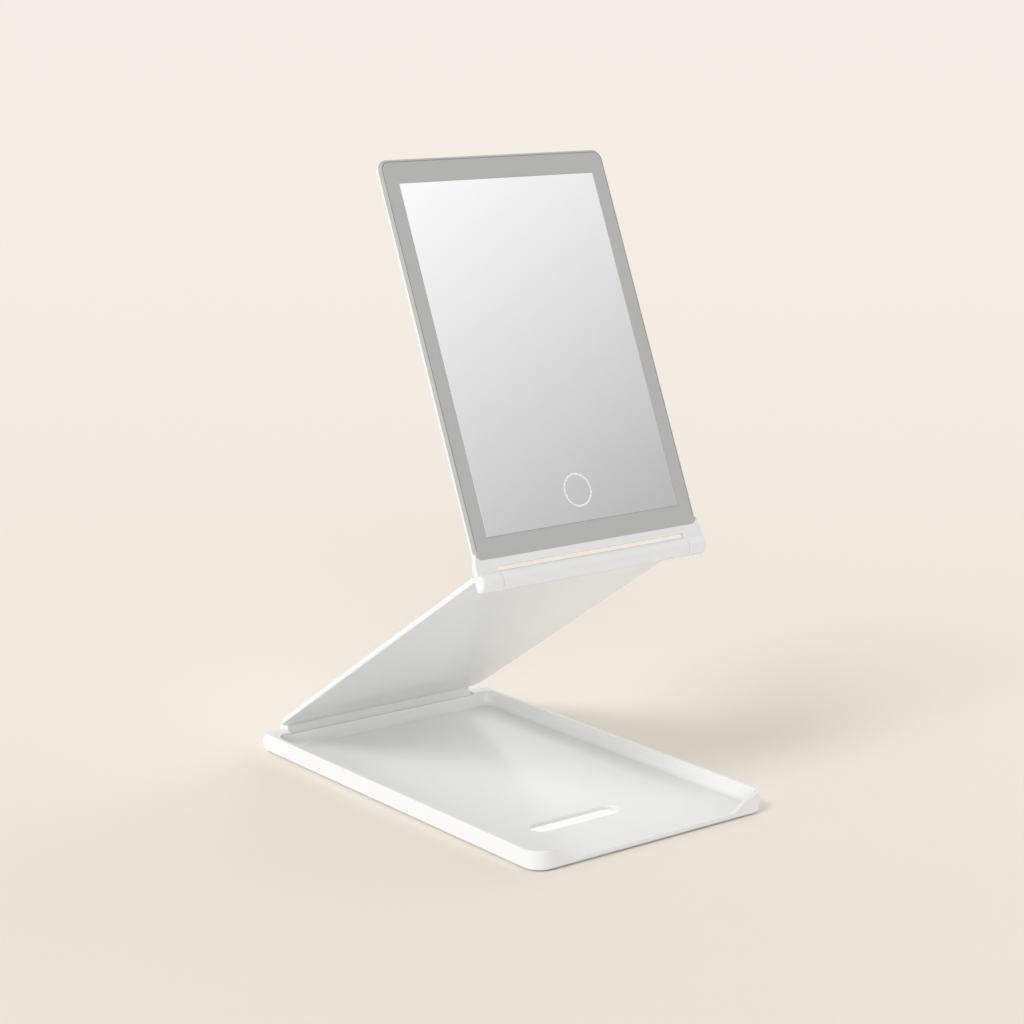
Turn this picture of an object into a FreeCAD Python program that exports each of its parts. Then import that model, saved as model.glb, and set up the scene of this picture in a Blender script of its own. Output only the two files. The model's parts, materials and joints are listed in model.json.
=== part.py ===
"""Trifold vanity mirror: a base tray, a lid and a lit mirror head on two friction hinges.

The lid is hinged to the tray's rear edge and the head to the lid's front edge. Shut, the head lies
in the tray with its glass up, under the lid. Every piece is modelled shut and flat, and each body
is then turned about its hinge axis to the standing pose.

Units are millimetres. X runs across the object, the tray's notched front edge faces -Y, +Z is up,
and the origin is on the table at the middle of the tray.
"""
import FreeCAD, Part
import math
import os

V = FreeCAD.Vector
X_AXIS = V(1, 0, 0)

# ---------------------------------------------------------------- driving dimensions
# Mirror head
window_width = 126.6          # lit border and mirror together, edge to edge of the head
window_length = 180.8
window_thickness = 1.5
window_top_corner = 5.0
window_chin_corner = 3.6
window_edge_bevel = 1.0
mirror_side_margin = 8.45     # width of the lit border at each side
mirror_top_margin = 11.2
mirror_bottom_margin = 9.3
mirror_thickness = 1.2
head_thickness = 6.4
head_side_wall = 1.2
head_back_wall = 1.2
head_back_round = 4.8         # soft rear edges of the head
chin_height = 3.55            # white strip between the window and the slit
chin_back_round = 3.6         # opens the slit to the rear
ear_flare = 1.3               # ears stand wider than the window at each side
flare_start = 5.5             # from here to the window's lower corners the sides sweep in
chin_gap = 1.8                # slit between the chin and the lid's barrel
slit_front_skin = 1.7         # behind this depth the slit runs on into the ears
slit_end_relief = 4.0
glass_above_axis = 2.0        # mirror face above the upper hinge axis, when shut
ring_diameter = 15.4          # touch key's outline on the mirror
ring_line = 0.55
ring_depth = 0.25
ring_above_margin = 14.4      # centre of the ring above the mirror's lower edge

# Hinges
upper_ear_radius = 4.45
upper_barrel_radius = 4.35
upper_ear_width = 11.2
lower_barrel_radius = 4.3
lower_ear_width = 11.6
upper_ear_front_round = 1.8
lower_ear_end_round = 2.2
barrel_end_gap = 0.3          # side play between a barrel and each ear
pin_radius = 1.5
pin_in_ear = 8.0
pin_in_barrel = 16.0
pin_running_gap = 0.02        # radial clearance of a pin in its friction sleeve
sleeve_wall = 1.1
sleeve_length = 18.0
sleeve_seat_gap = 0.05
sleeve_key = 0.45             # depth of the flat that keys a sleeve in its barrel

# Lid
lid_side_inset = 3.3          # ears stand wider than the lid at each side
lid_skin = 1.3
lid_cavity = 0.8              # room for the stiffener and its tape
lid_cover_skin = 1.1
lid_front_corner = 4.0
lid_rear_corner = 6.0
lid_outer_round = 2.4
lid_inner_round = 0.5
lid_notch_reach = 5.0         # from a hinge axis to the lid's edge beside the ears
lid_end_strip = 10.5          # full-depth strip of the lid at each end
front_ramp = 8.5              # the lid's outer face slopes down to the barrel over this length
rear_roll = 6.5               # radius over the rear barrel
upper_blend = 1.2             # hollow blend from the lid's inner face to each barrel
lower_blend = 0.8
tape_thickness = 0.15
stiffener_margin = 5.0
cover_seam_gap = 0.1

# Tray
tray_wall = 2.2
tray_floor = 1.9
tray_corner = 9.0
tray_inner_corner = 6.0
tray_inner_round = 2.6        # dished blend from floor to wall
tray_rear_wall = 1.0          # thinnest part of the wall in front of the lower barrel
rear_wall_rise = 3.4          # top of that wall above the lower hinge axis
tray_bottom_round = 1.5
tray_rim_round = 0.6
notch_low_half = 45.0         # half width of the front notch at its foot and at the rim
notch_high_half = 62.0
notch_lip = 0.7               # lip left above the floor along the front edge
notch_foot_radius = 8.0
slot_length = 49.4
slot_width = 10.6
slot_lip_round = 0.8
slot_x = -12.5
slot_from_front = 40.7
foot_radius = 4.5
foot_thickness = 1.3
foot_proud = 0.5
foot_inset = 11.0

# Running gaps between the folded layers
shut_gap = 0.3                # upper ears to the tray floor, when shut
face_gap = 0.75               # mirror face to the lid
lid_rim_gap = 0.4             # lid to the tray's rim
head_side_gap = 0.7
front_room = 4.05             # upper ears to the front wall
tip_room = 6.9                # head's tip to the lower barrel
barrel_room = 0.35            # lower barrel to the tray floor

# Standing pose, in degrees from shut
lid_open = 33.2
head_open = 260.2

# Head internals
chassis_plate = 0.8
mirror_tape = 0.3
light_wall = 0.8
light_channel = 4.0           # clear width of the channel behind the lit border
light_floor_gap = 0.6         # channel's underside above the housing's inner floor
led_strip_width = 3.6
led_strip_thickness = 0.25
led_length, led_width, led_height = 2.8, 1.4, 0.7
led_pitch = 8.0
part_gap = 0.1                # assembly clearance between fitted pieces
channel_overlap = 0.2         # the light box reaches this far past the mirror's edge
flange_gap = 0.15
chassis_screw_inset = 6.0     # chassis screws in from the mirror's sides, foot and top
chassis_screw_foot = 38.0
chassis_screw_top = 7.0
mirror_tape_edge = 1.0        # tape in from the mirror's edge, and its bands
mirror_tape_side, mirror_tape_foot = 7.0, 5.0
tape_corner = 3.0
battery_length, battery_width, battery_thickness = 84.0, 62.0, 2.6
battery_corner, battery_edge_round = 2.0, 0.7
battery_above_board = 16.0
battery_tape_inset = 6.0
protection_length, protection_depth, protection_thickness = 36.0, 4.2, 0.8
protection_lift = 0.5
protection_chip = (2.6, 1.8, 0.6)
protection_chip_pitch = 6.0
board_length, board_depth, board_thickness = 84.0, 22.5, 0.8
board_side_gap, board_foot_gap, board_corner = 1.2, 1.0, 1.0
board_screw_inset = 3.2
board_screw_clear = 16.0      # right-hand screws stay clear of the socket
controller_side, charger_side, driver_side, coil_side = 5.0, 3.0, 3.0, 4.0
chip_height, coil_height = 0.5, 0.9
controller_share = (0.17, 0.46)         # places on the board, as shares of its length and depth
charger_share = (0.37, 0.29)
driver_share = (0.64, 0.55)
coil_share = (0.31, 0.45)
capacitor = (1.6, 0.8, 0.45)
capacitor_pitch = 3.4
capacitor_row_inset = 4.5
indicator_chip = (1.6, 0.8, 0.5)
touch_flex_width, led_flex_width = 6.0, 7.0
touch_flex_inset = 2.2
led_flex_inset = 8.0
flex_lap = 3.0                # length of a flexible cable's end on a board
flex_clearance = 4.6
lead_places = {"positive": (-9.0, -2.0), "negative": (-5.0, 2.0)}     # X at the cell and at the board
usb_width, usb_height, usb_depth = 8.94, 3.16, 6.5
usb_wall = 0.3
usb_above_window = 17.0       # port's centre above the window's lower edge
usb_recess = 0.3              # shell's mouth below the housing's side
usb_back = 1.3                # moulded block behind the contacts
usb_blade_width, usb_blade_thickness, usb_blade_setback = 6.4, 0.7, 1.6
indicator_pitch = 8.5         # charge light beside the port
indicator_radius = 0.9
screw_radius, screw_head_radius, screw_head_height = 0.7, 1.35, 0.4
post_radius = 2.1
screw_floor = 0.4             # plastic left under each screw hole
screw_tip_gap = 0.2           # below a screw's tip
screw_hole_gap = 0.1
drive_length, drive_width, drive_depth = 1.6, 0.3, 0.25
lead_radius = 0.5
electrode_thickness = 0.2
electrode_inset = 0.7
flex_thickness = 0.15

# ---------------------------------------------------------------- worked-out sizes
head_width = window_width + 2 * ear_flare                    # over the ears
lid_width = head_width - 2 * lid_side_inset
barrel_to_chin = upper_barrel_radius + chin_gap              # from the upper axis, along the head
window_low = barrel_to_chin + chin_height
window_high = window_low + window_length
flare_end = window_low + window_chin_corner

tray_width = head_width + 2 * (head_side_gap + tray_wall)
fold_length = window_high + tip_room + lower_barrel_radius      # between the axes, along the lid

floor_top = foot_proud + tray_floor
upper_z = floor_top + shut_gap + upper_ear_radius
face_z = upper_z + glass_above_axis
head_back_z = face_z - head_thickness
lid_under_z = face_z + face_gap
rim_top = lid_under_z - lid_rim_gap
lower_ear_radius = (rim_top - foot_proud) / 2
lower_z = foot_proud + lower_ear_radius
lid_split_z = lid_under_z + lid_skin
lid_cavity_z = lid_split_z + lid_cavity
lid_top_z = lid_cavity_z + lid_cover_skin

tray_length = lower_ear_radius + fold_length + upper_ear_radius + front_room + tray_wall
tray_front = -tray_length / 2
lower_y = tray_length / 2 - lower_ear_radius
upper_y = lower_y - fold_length
upper_seam = head_width / 2 - upper_ear_width                # inner face of the head's ears
lower_seam = tray_width / 2 - lower_ear_width                # inner face of the tray's ears
sleeve_radius = pin_radius + pin_running_gap + sleeve_wall

window_back_z = face_z - window_thickness
mirror_back_z = face_z - mirror_thickness
chassis_top_z = window_back_z
chassis_under_z = chassis_top_z - chassis_plate
housing_floor_z = head_back_z + head_back_wall
channel_floor_z = housing_floor_z + light_wall + light_floor_gap
mirror_width = window_width - 2 * mirror_side_margin
mirror_low = window_low + mirror_bottom_margin
mirror_high = window_high - mirror_top_margin
ring_u = mirror_low + ring_above_margin
usb_u = window_low + usb_above_window
usb_z = (housing_floor_z + chassis_top_z) / 2 - 0.05
board_z = usb_z - board_thickness / 2


# ---------------------------------------------------------------- shape helpers
def box(x0, x1, y0, y1, z0, z1):
    """Block between two corners."""
    return Part.makeBox(x1 - x0, y1 - y0, z1 - z0, V(x0, y0, z0))


def cylinder_x(x0, x1, y, z, radius):
    """Cylinder along X."""
    return Part.makeCylinder(radius, x1 - x0, V(x0, y, z), X_AXIS)


def cylinder_z(x, y, z0, z1, radius):
    """Cylinder along Z."""
    return Part.makeCylinder(radius, z1 - z0, V(x, y, z0))


def rounded_outline(x0, x1, y0, y1, low_radius, high_radius, z):
    """Closed rectangle wire whose corners at y0 and at y1 are rounded."""
    k = math.sqrt(0.5)
    edges = []
    corners = ((x0, y0, 1, 1, low_radius), (x1, y0, -1, 1, low_radius),
               (x1, y1, -1, -1, high_radius), (x0, y1, 1, -1, high_radius))
    spots = []
    for x, y, sx, sy, r in corners:
        cx, cy = x + sx * r, y + sy * r
        along_x, along_y = V(cx, y, z), V(x, cy, z)
        middle = V(cx - sx * r * k, cy - sy * r * k, z)
        first, last = (along_y, along_x) if sx * sy > 0 else (along_x, along_y)
        spots.append((first, middle, last, r))
    for i, (first, middle, last, r) in enumerate(spots):
        if r > 0:
            edges.append(Part.Arc(first, middle, last).toShape())
        edges.append(Part.LineSegment(last, spots[(i + 1) % 4][0]).toShape())
    return Part.Wire(edges)


def slab(x0, x1, y0, y1, z0, z1, low_radius=0.0, high_radius=None):
    """Plate with rounded corners in plan."""
    high_radius = low_radius if high_radius is None else high_radius
    face = Part.Face(rounded_outline(x0, x1, y0, y1, low_radius, high_radius, z0))
    return face.extrude(V(0, 0, z1 - z0))


def edges_at(shape, keep):
    """Edges whose every sampled point passes the test."""
    found = []
    for edge in shape.Edges:
        first, last = edge.ParameterRange
        points = [edge.valueAt(first + (last - first) * t) for t in (0.0, 0.35, 0.7, 1.0)]
        if all(keep(p) for p in points):
            found.append(edge)
    return found


def near(a, b):
    return abs(a - b) < 1e-4


def prism_x(points, x0, x1):
    """Prism along X over a polygon of (y, z) points."""
    wire = Part.makePolygon([V(x0, y, z) for y, z in points] + [V(x0, *points[0])])
    return Part.Face(wire).extrude(V(x1 - x0, 0, 0))


def fuse(shapes):
    """One solid from several."""
    result = shapes[0].multiFuse(shapes[1:]) if len(shapes) > 1 else shapes[0]
    return result.removeSplitter()


def mirrored(shape):
    """Copy on the other side of the X = 0 plane."""
    return shape.mirror(V(0, 0, 0), X_AXIS)


def head_y(u):
    """Y of a point u from the upper axis along the head, when shut."""
    return upper_y + u


def lid_front_y(v):
    """Y of a point v behind the upper axis, along the lid."""
    return upper_y + v


def lid_rear_y(v):
    """Y of a point v ahead of the lower axis, along the lid."""
    return lower_y - v


# ---------------------------------------------------------------- tray
def pocket_rear():
    """Y of the pocket's rear edge, just ahead of the lower barrel."""
    return lower_y - lower_barrel_radius - barrel_room - tray_rear_wall


def tray_cavity():
    """The dish that the head lies in."""
    half = tray_width / 2 - tray_wall
    pocket = slab(-half, half, tray_front + tray_wall, pocket_rear(), floor_top, rim_top + 5,
                  tray_inner_corner)
    return pocket.makeFillet(tray_inner_round, edges_at(pocket, lambda p: near(p.z, floor_top)))


def notch_profile():
    """Outline (x, z) of the front notch: flat foot, S-curves up to the rim."""
    low = floor_top + notch_lip
    rise, run = rim_top - low, notch_high_half - notch_low_half
    angle = 2 * math.atan2(rise, run)
    crown = rise / (1 - math.cos(angle)) - notch_foot_radius
    y = tray_front - 5

    def on_foot(a):
        return V(notch_low_half + notch_foot_radius * math.sin(a), y,
                 low + notch_foot_radius * (1 - math.cos(a)))

    def on_crown(a):
        return V(notch_high_half - crown * math.sin(a), y, rim_top - crown * (1 - math.cos(a)))

    def flip(p):
        return V(-p.x, p.y, p.z)

    top = rim_top + 5
    right = [Part.Arc(on_foot(0), on_foot(angle / 2), on_foot(angle)).toShape(),
             Part.Arc(on_crown(angle), on_crown(angle / 2), on_crown(0)).toShape()]
    left = [Part.Arc(flip(on_crown(0)), flip(on_crown(angle / 2)), flip(on_crown(angle))).toShape(),
            Part.Arc(flip(on_foot(angle)), flip(on_foot(angle / 2)), flip(on_foot(0))).toShape()]
    rim = [V(notch_high_half, y, rim_top), V(notch_high_half, y, top),
           V(-notch_high_half, y, top), V(-notch_high_half, y, rim_top)]
    joins = [Part.LineSegment(a, b).toShape() for a, b in zip(rim, rim[1:])]
    foot = Part.LineSegment(flip(on_foot(0)), on_foot(0)).toShape()
    return Part.Wire(right + joins + left + [foot])


def stadium(x, y, z0, z1, length, width):
    """Upright plug with round ends, for a slot along X."""
    half = length / 2
    return slab(x - half, x + half, y - width / 2, y + width / 2, z0, z1, width / 2 - 1e-3)


def foot_places():
    x = tray_width / 2 - foot_inset
    front = tray_front + foot_inset
    rear = lower_y - lower_barrel_radius - foot_inset
    return {"front_left": (-x, front), "front_right": (x, front),
            "rear_left": (-x, rear), "rear_right": (x, rear)}


def base_tray():
    half = tray_width / 2
    body = slab(-half, half, tray_front, lower_y, foot_proud, rim_top, tray_corner, 0)
    under = edges_at(body, lambda p: near(p.z, foot_proud) and p.y < lower_y - 0.01)
    under += edges_at(body, lambda p: near(p.z, foot_proud) and near(abs(p.x), half))
    body = body.makeFillet(tray_bottom_round, unique(under))
    rim = edges_at(body, lambda p: near(p.z, rim_top) and (p.y < lower_y - 0.01 or near(abs(p.x), half)))
    body = body.makeFillet(tray_rim_round, unique(rim))
    ears = []
    for side in (-1, 1):
        x0, x1 = sorted((side * lower_seam, side * half))
        ear = cylinder_x(x0, x1, lower_y, lower_z, lower_ear_radius)
        ear = ear.makeFillet(lower_ear_end_round, edges_at(ear, lambda p: near(p.x, side * half)))
        ears.append(ear)
    body = body.cut(tray_cavity())
    body = fuse([body] + ears)
    swing = lower_barrel_radius + barrel_room
    body = body.cut(cylinder_x(-lower_seam, lower_seam, lower_y, lower_z, swing))
    body = body.cut(box(-lower_seam, lower_seam, lower_y - swing / 2, lower_y + 20, -1, rim_top + 10))
    body = body.cut(box(-lower_seam, lower_seam, lower_y - swing, lower_y + 20, lower_z, rim_top + 10))
    body = body.cut(box(-lower_seam, lower_seam, pocket_rear() - 1, lower_y + 20,
                        lower_z + rear_wall_rise, rim_top + 10))
    notch = Part.Face(notch_profile()).extrude(V(0, 5 + tray_wall + tray_inner_round, 0))
    body = body.cut(notch)
    slot_y = tray_front + slot_from_front
    slot = stadium(slot_x, slot_y, -1, floor_top + 1, slot_length, slot_width)
    body = body.cut(slot)
    lip = edges_at(body, lambda p: near(p.z, floor_top) and abs(p.x - slot_x) < slot_length / 2 + 0.1
                   and abs(p.y - slot_y) < slot_width / 2 + 0.1)
    body = body.makeFillet(slot_lip_round, lip)
    for x, y in foot_places().values():
        body = body.cut(cylinder_z(x, y, -1, foot_thickness, foot_radius))
    for side in (-1, 1):
        body = body.cut(ear_bore(side, lower_seam, lower_y, lower_z))
    return body


def unique(edges):
    """Edges without repeats."""
    kept = []
    for edge in edges:
        if not any(edge.isSame(other) for other in kept):
            kept.append(edge)
    return kept


def foot(place):
    x, y = foot_places()[place]
    disc = cylinder_z(x, y, 0, foot_thickness, foot_radius)
    return disc.makeFillet(foot_proud * 0.6, edges_at(disc, lambda p: near(p.z, 0)))


# ---------------------------------------------------------------- hinge hardware
def ear_bore(side, seam, y, z):
    """Blind hole in an ear's inner face."""
    x0, x1 = sorted((side * (seam - 1), side * (seam + pin_in_ear)))
    return cylinder_x(x0, x1, y, z, pin_radius)


def hinge_pin(side, seam, y, z):
    """Steel pin, pressed into an ear and turning in a friction sleeve."""
    inner, outer = seam - pin_in_barrel, seam + pin_in_ear
    x0, x1 = sorted((side * inner, side * outer))
    pin = cylinder_x(x0, x1, y, z, pin_radius)
    return pin.makeChamfer(0.3, edges_at(pin, lambda p: near(p.x, side * inner)))


def sleeve_blank(side, seam, y, z, grow, length):
    """Round bar with a flat on top, grown by a gap."""
    x0, x1 = sorted((side * (seam - barrel_end_gap), side * (seam - barrel_end_gap - length)))
    radius = sleeve_radius + grow
    bar = cylinder_x(x0, x1, y, z, radius)
    return bar.cut(box(x0 - 1, x1 + 1, y - 9, y + 9, z + radius - sleeve_key, z + 9))


def friction_sleeve(side, seam, y, z):
    """Split bronze sleeve that grips the pin."""
    bar = sleeve_blank(side, seam, y, z, 0, sleeve_length)
    x0, x1 = sorted((side * (seam + 1), side * (seam - sleeve_length - 2)))
    bar = bar.cut(cylinder_x(x0, x1, y, z, pin_radius + pin_running_gap))
    return bar.cut(box(x0, x1, y - 0.25, y + 0.25, z - 9, z))


def sleeve_bore(side, seam, y, z):
    """Keyed bore in the end of a barrel."""
    bore = sleeve_blank(side, seam, y, z, sleeve_seat_gap, sleeve_length + sleeve_seat_gap)
    x0, x1 = sorted((side * (seam + 1), side * (seam - barrel_end_gap)))
    return bore.fuse(cylinder_x(x0, x1, y, z, sleeve_radius + sleeve_seat_gap))


# ---------------------------------------------------------------- lid
def lid_plate():
    """The lid's flat part, notched at both ends to clear the ears."""
    half = lid_width / 2
    plate = slab(-half, half, lid_front_y(lid_notch_reach), lid_rear_y(lid_notch_reach),
                 lid_under_z, lid_top_z, lid_front_corner, lid_rear_corner)
    plate = plate.makeFillet(lid_outer_round, edges_at(plate, lambda p: near(p.z, lid_top_z)))
    return plate.makeFillet(lid_inner_round, edges_at(plate, lambda p: near(p.z, lid_under_z)))


def front_ramp_cut():
    """Wedge off the lid's front end, so that it slopes down to the barrel."""
    reach, rise = front_ramp, lid_top_z - upper_z
    distance = math.hypot(reach, rise)
    slope = math.atan2(rise, reach)
    touch = slope + math.acos(upper_barrel_radius / distance)
    ty, tz = upper_barrel_radius * math.cos(touch), upper_barrel_radius * math.sin(touch)
    start, end = V(0, reach, rise), V(0, ty, tz)
    far = end + (end - start).normalize() * 12
    points = [(start.y, start.z), (far.y, far.z), (far.y, rise + 9), (start.y, rise + 9)]
    points = [(lid_front_y(a), upper_z + b) for a, b in points]
    return prism_x(points, -lid_width, lid_width), (lid_front_y(ty), upper_z + tz)


def front_hook():
    """Barrel at the lid's front edge and its blend into the lid."""
    half = upper_seam - barrel_end_gap
    barrel = cylinder_x(-half, half, upper_y, upper_z, upper_barrel_radius)
    under = lid_under_z - upper_z
    ty, tz = front_ramp_cut()[1]
    body = prism_x([(ty, tz), (lid_front_y(front_ramp), lid_top_z), (lid_front_y(front_ramp), lid_under_z),
                    (upper_y, lid_under_z)], -half, half)
    blend = upper_blend
    reach = math.sqrt((upper_barrel_radius + blend) ** 2 - (under - blend) ** 2)
    inner = prism_x([(upper_y, lid_under_z), (lid_front_y(reach), lid_under_z),
                     (lid_front_y(reach), lid_under_z - blend), (upper_y, upper_z)], -half, half)
    inner = inner.cut(cylinder_x(-half, half, lid_front_y(reach), lid_under_z - blend, blend))
    return fuse([barrel, body, inner])


def rear_hook():
    """Barrel at the lid's rear edge, hung below the lid by a web."""
    half = lower_seam - barrel_end_gap
    r = lower_barrel_radius
    barrel = cylinder_x(-half, half, lower_y, lower_z, r)
    web = box(-half, half, lower_y - r, lower_y + r, lower_z, lid_top_z)
    web = web.makeFillet(rear_roll, edges_at(web, lambda p: near(p.y, lower_y + r) and near(p.z, lid_top_z)))
    blend = lower_blend
    fill = box(-half, half, lower_y - r - blend, lower_y - r, lid_under_z - blend, lid_under_z)
    fill = fill.cut(cylinder_x(-half, half, lower_y - r - blend, lid_under_z - blend, blend))
    strip = box(-half, half, lower_y - lid_notch_reach - 1, lower_y, lid_under_z, lid_top_z)
    return fuse([barrel, web, fill, strip])


def cover_block(gap):
    """Space that the outer cover fills, less a gap at its ends."""
    return box(-lid_width, lid_width, lid_front_y(lid_end_strip) + gap, lid_rear_y(lid_end_strip) - gap,
               lid_split_z, lid_top_z + 5)


def lid_inner_panel():
    plate = lid_plate().cut(front_ramp_cut()[0])
    body = fuse([plate, front_hook(), rear_hook()])
    body = body.cut(cover_block(0))
    for side in (-1, 1):
        body = body.cut(sleeve_bore(side, upper_seam, upper_y, upper_z))
        body = body.cut(sleeve_bore(side, lower_seam, lower_y, lower_z))
    return body


def cavity_corners(gap):
    """Plan of the pocket under the cover."""
    half = lid_width / 2 - stiffener_margin - gap
    return (-half, half, lid_front_y(lid_end_strip) + stiffener_margin + gap,
            lid_rear_y(lid_end_strip) - stiffener_margin - gap)


def lid_outer_cover():
    cover = lid_plate().cut(front_ramp_cut()[0]).common(cover_block(cover_seam_gap))
    x0, x1, y0, y1 = cavity_corners(0)
    return cover.cut(slab(x0, x1, y0, y1, lid_split_z, lid_cavity_z, lid_front_corner))


def lid_stiffener_plate():
    """Steel sheet with round lightening holes."""
    x0, x1, y0, y1 = cavity_corners(part_gap)
    plate = slab(x0, x1, y0, y1, lid_split_z + tape_thickness, lid_cavity_z, lid_front_corner)
    rows, columns = 5, 3
    for i in range(rows):
        for j in range(columns):
            x = x0 + (x1 - x0) * (j + 0.5) / columns
            y = y0 + (y1 - y0) * (i + 0.5) / rows
            plate = plate.cut(cylinder_z(x, y, lid_split_z, lid_top_z, (y1 - y0) / rows * 0.28))
    return plate


def lid_bonding_tape():
    """Double-sided tape between the stiffener and the inner panel."""
    x0, x1, y0, y1 = cavity_corners(part_gap)
    inset = stiffener_margin
    sheet = slab(x0, x1, y0, y1, lid_split_z, lid_split_z + tape_thickness, lid_front_corner)
    return sheet.cut(slab(x0 + inset, x1 - inset, y0 + inset, y1 - inset, lid_split_z - 1,
                          lid_split_z + 1, lid_front_corner))


# ---------------------------------------------------------------- head: shells and glass
def head_outline(z):
    """Plan of the head: wide at the ears, swept in to the window's width, round at the tip."""
    wide, slim = head_width / 2, window_width / 2
    sweep = 2 * math.atan2(ear_flare, flare_end - flare_start)
    radius = ear_flare / 2 / (1 - math.cos(sweep))
    k = window_top_corner * (1 - math.sqrt(0.5))
    low, high = head_y(flare_start), head_y(flare_end)
    tip = head_y(window_high)

    def near_ear(a):
        return V(wide - radius * (1 - math.cos(a)), low + radius * math.sin(a), z)

    def near_window(a):
        return V(slim + radius * (1 - math.cos(a)), high - radius * math.sin(a), z)

    def flip(p):
        return V(-p.x, p.y, p.z)

    round_off = window_top_corner
    arcs = [(near_ear(0), near_ear(sweep / 2), near_ear(sweep)),
            (near_window(sweep), near_window(sweep / 2), near_window(0)),
            (V(slim, tip - round_off, z), V(slim - k, tip - k, z), V(slim - round_off, tip, z))]
    arcs += [(flip(c), flip(b), flip(a)) for a, b, c in reversed(arcs)]
    edges = [Part.Arc(*arc).toShape() for arc in arcs]
    for i in (1, 2, 3):
        edges.append(Part.LineSegment(arcs[i][2], arcs[i + 1][0]).toShape())
    feet = [arcs[5][2], V(-wide, head_y(0), z), V(wide, head_y(0), z), arcs[0][0]]
    edges += [Part.LineSegment(a, b).toShape() for a, b in zip(feet, feet[1:])]
    return Part.Wire(Part.__sortEdges__(edges))


def window_blank(gap, z0, z1):
    """Plan of the window, grown by a gap."""
    half = window_width / 2 + gap
    return slab(-half, half, head_y(window_low) - gap, head_y(window_high) + gap, z0, z1,
                window_chin_corner, window_top_corner)


def upper_ear_bar():
    """Both ears in one bar, with soft rear edges that run on from the head's sides."""
    half = head_width / 2
    bar = cylinder_x(-half, half, upper_y, upper_z, upper_ear_radius)
    bar = bar.makeFillet(upper_ear_front_round, edges_at(bar, lambda p: near(abs(p.x), half)))
    low = upper_z - upper_ear_radius
    soft = box(-half, half, head_y(-20), head_y(20), low, face_z + 20)
    soft = soft.makeFillet(head_back_round, edges_at(soft, lambda p: near(p.z, low) and near(abs(p.x), half)))
    return bar.common(soft)


def head_rear_housing():
    half = head_width / 2
    body = Part.Face(head_outline(head_back_z)).extrude(V(0, 0, head_thickness))
    soft = edges_at(body, lambda p: near(p.z, head_back_z)
                    and (p.y > head_y(0) + 0.01 or near(abs(p.x), half)))
    body = body.makeFillet(head_back_round, unique(soft))
    body = fuse([body, upper_ear_bar()])
    body = body.cut(box(-upper_seam, upper_seam, head_y(-20), head_y(barrel_to_chin), -20, 40))
    reach = upper_seam + slit_end_relief
    body = body.cut(box(-reach, reach, head_y(upper_ear_radius), head_y(barrel_to_chin),
                        -20, face_z - slit_front_skin))
    chin_edge = edges_at(body, lambda p: near(p.y, head_y(barrel_to_chin)) and near(p.z, head_back_z))
    body = body.makeFillet(chin_back_round, chin_edge)
    body = body.cut(window_blank(part_gap / 2, window_back_z, face_z + 5))
    body = body.cut(box(-half - 1, half + 1, head_y(flare_end), head_y(window_high + 1),
                        window_back_z, face_z + 5))
    body = body.cut(head_cavity())
    posts = [cylinder_z(x, y, housing_floor_z, chassis_under_z, post_radius)
             for x, y in chassis_screw_places()]
    posts += [cylinder_z(x, y, housing_floor_z, board_z, post_radius) for x, y in board_screw_places()]
    body = fuse([body] + posts)
    for x, y in chassis_screw_places():
        body = body.cut(cylinder_z(x, y, housing_floor_z + screw_floor, chassis_under_z + 1, screw_radius))
    for x, y in board_screw_places():
        body = body.cut(cylinder_z(x, y, housing_floor_z + screw_floor, board_z + 1, screw_radius))
    for side in (-1, 1):
        body = body.cut(ear_bore(side, upper_seam, upper_y, upper_z))
    return body.cut(usb_plug(part_gap, half + 1)).cut(indicator_rod(part_gap, half + 1))


def head_cavity():
    """Room inside the housing, with the housing's own soft rear edges."""
    half = window_width / 2 - head_side_wall
    low, high = head_y(window_low + head_side_wall), head_y(window_high - head_side_wall)
    cavity = slab(-half, half, low, high, housing_floor_z, face_z + 5, window_top_corner - head_side_wall)
    inner_round = head_back_round - head_back_wall
    return cavity.makeFillet(inner_round, edges_at(cavity, lambda p: near(p.z, housing_floor_z)))


def chassis_screw_places():
    """Plan places of the screws that hold the chassis to the housing."""
    x = mirror_width / 2 - chassis_screw_inset
    low, high = mirror_low + chassis_screw_foot, mirror_high - chassis_screw_top
    return [(sx * x, head_y(u)) for sx in (-1, 1) for u in (low, (low + high) / 2, high)]


def light_window_frame():
    """Opal frame that lights up round the mirror, bevelled at its sides and top."""
    half = window_width / 2
    long_blank = slab(-half, half, head_y(0), head_y(window_high), window_back_z, face_z,
                      0, window_top_corner)
    outer = edges_at(long_blank, lambda p: near(p.z, face_z)
                     and (p.y > head_y(0) + 0.01 or near(abs(p.x), half)))
    long_blank = long_blank.makeChamfer(window_edge_bevel, unique(outer))
    frame = window_blank(0, window_back_z, face_z).common(long_blank)
    hole = mirror_width / 2 + part_gap / 2
    low, high = head_y(mirror_low) - part_gap / 2, head_y(mirror_high) + part_gap / 2
    return frame.cut(box(-hole, hole, low, high, window_back_z - 1, face_z + 1))


def ring_solid(z0, z1, outer, inner):
    disc = cylinder_z(0, head_y(ring_u), z0, z1, outer)
    return disc.cut(cylinder_z(0, head_y(ring_u), z0 - 1, z1 + 1, inner))


def mirror_pane():
    half = mirror_width / 2
    pane = box(-half, half, head_y(mirror_low), head_y(mirror_high), mirror_back_z, face_z)
    outer = ring_diameter / 2
    return pane.cut(ring_solid(face_z - ring_depth, face_z + 1, outer, outer - ring_line))


def touch_key_ring():
    """Etched and filled line that marks the touch key, flush with the mirror."""
    outer = ring_diameter / 2
    return ring_solid(face_z - ring_depth, face_z, outer, outer - ring_line)


def touch_electrode():
    return cylinder_z(0, head_y(ring_u), mirror_back_z - electrode_thickness, mirror_back_z,
                      ring_diameter / 2 - electrode_inset)


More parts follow.
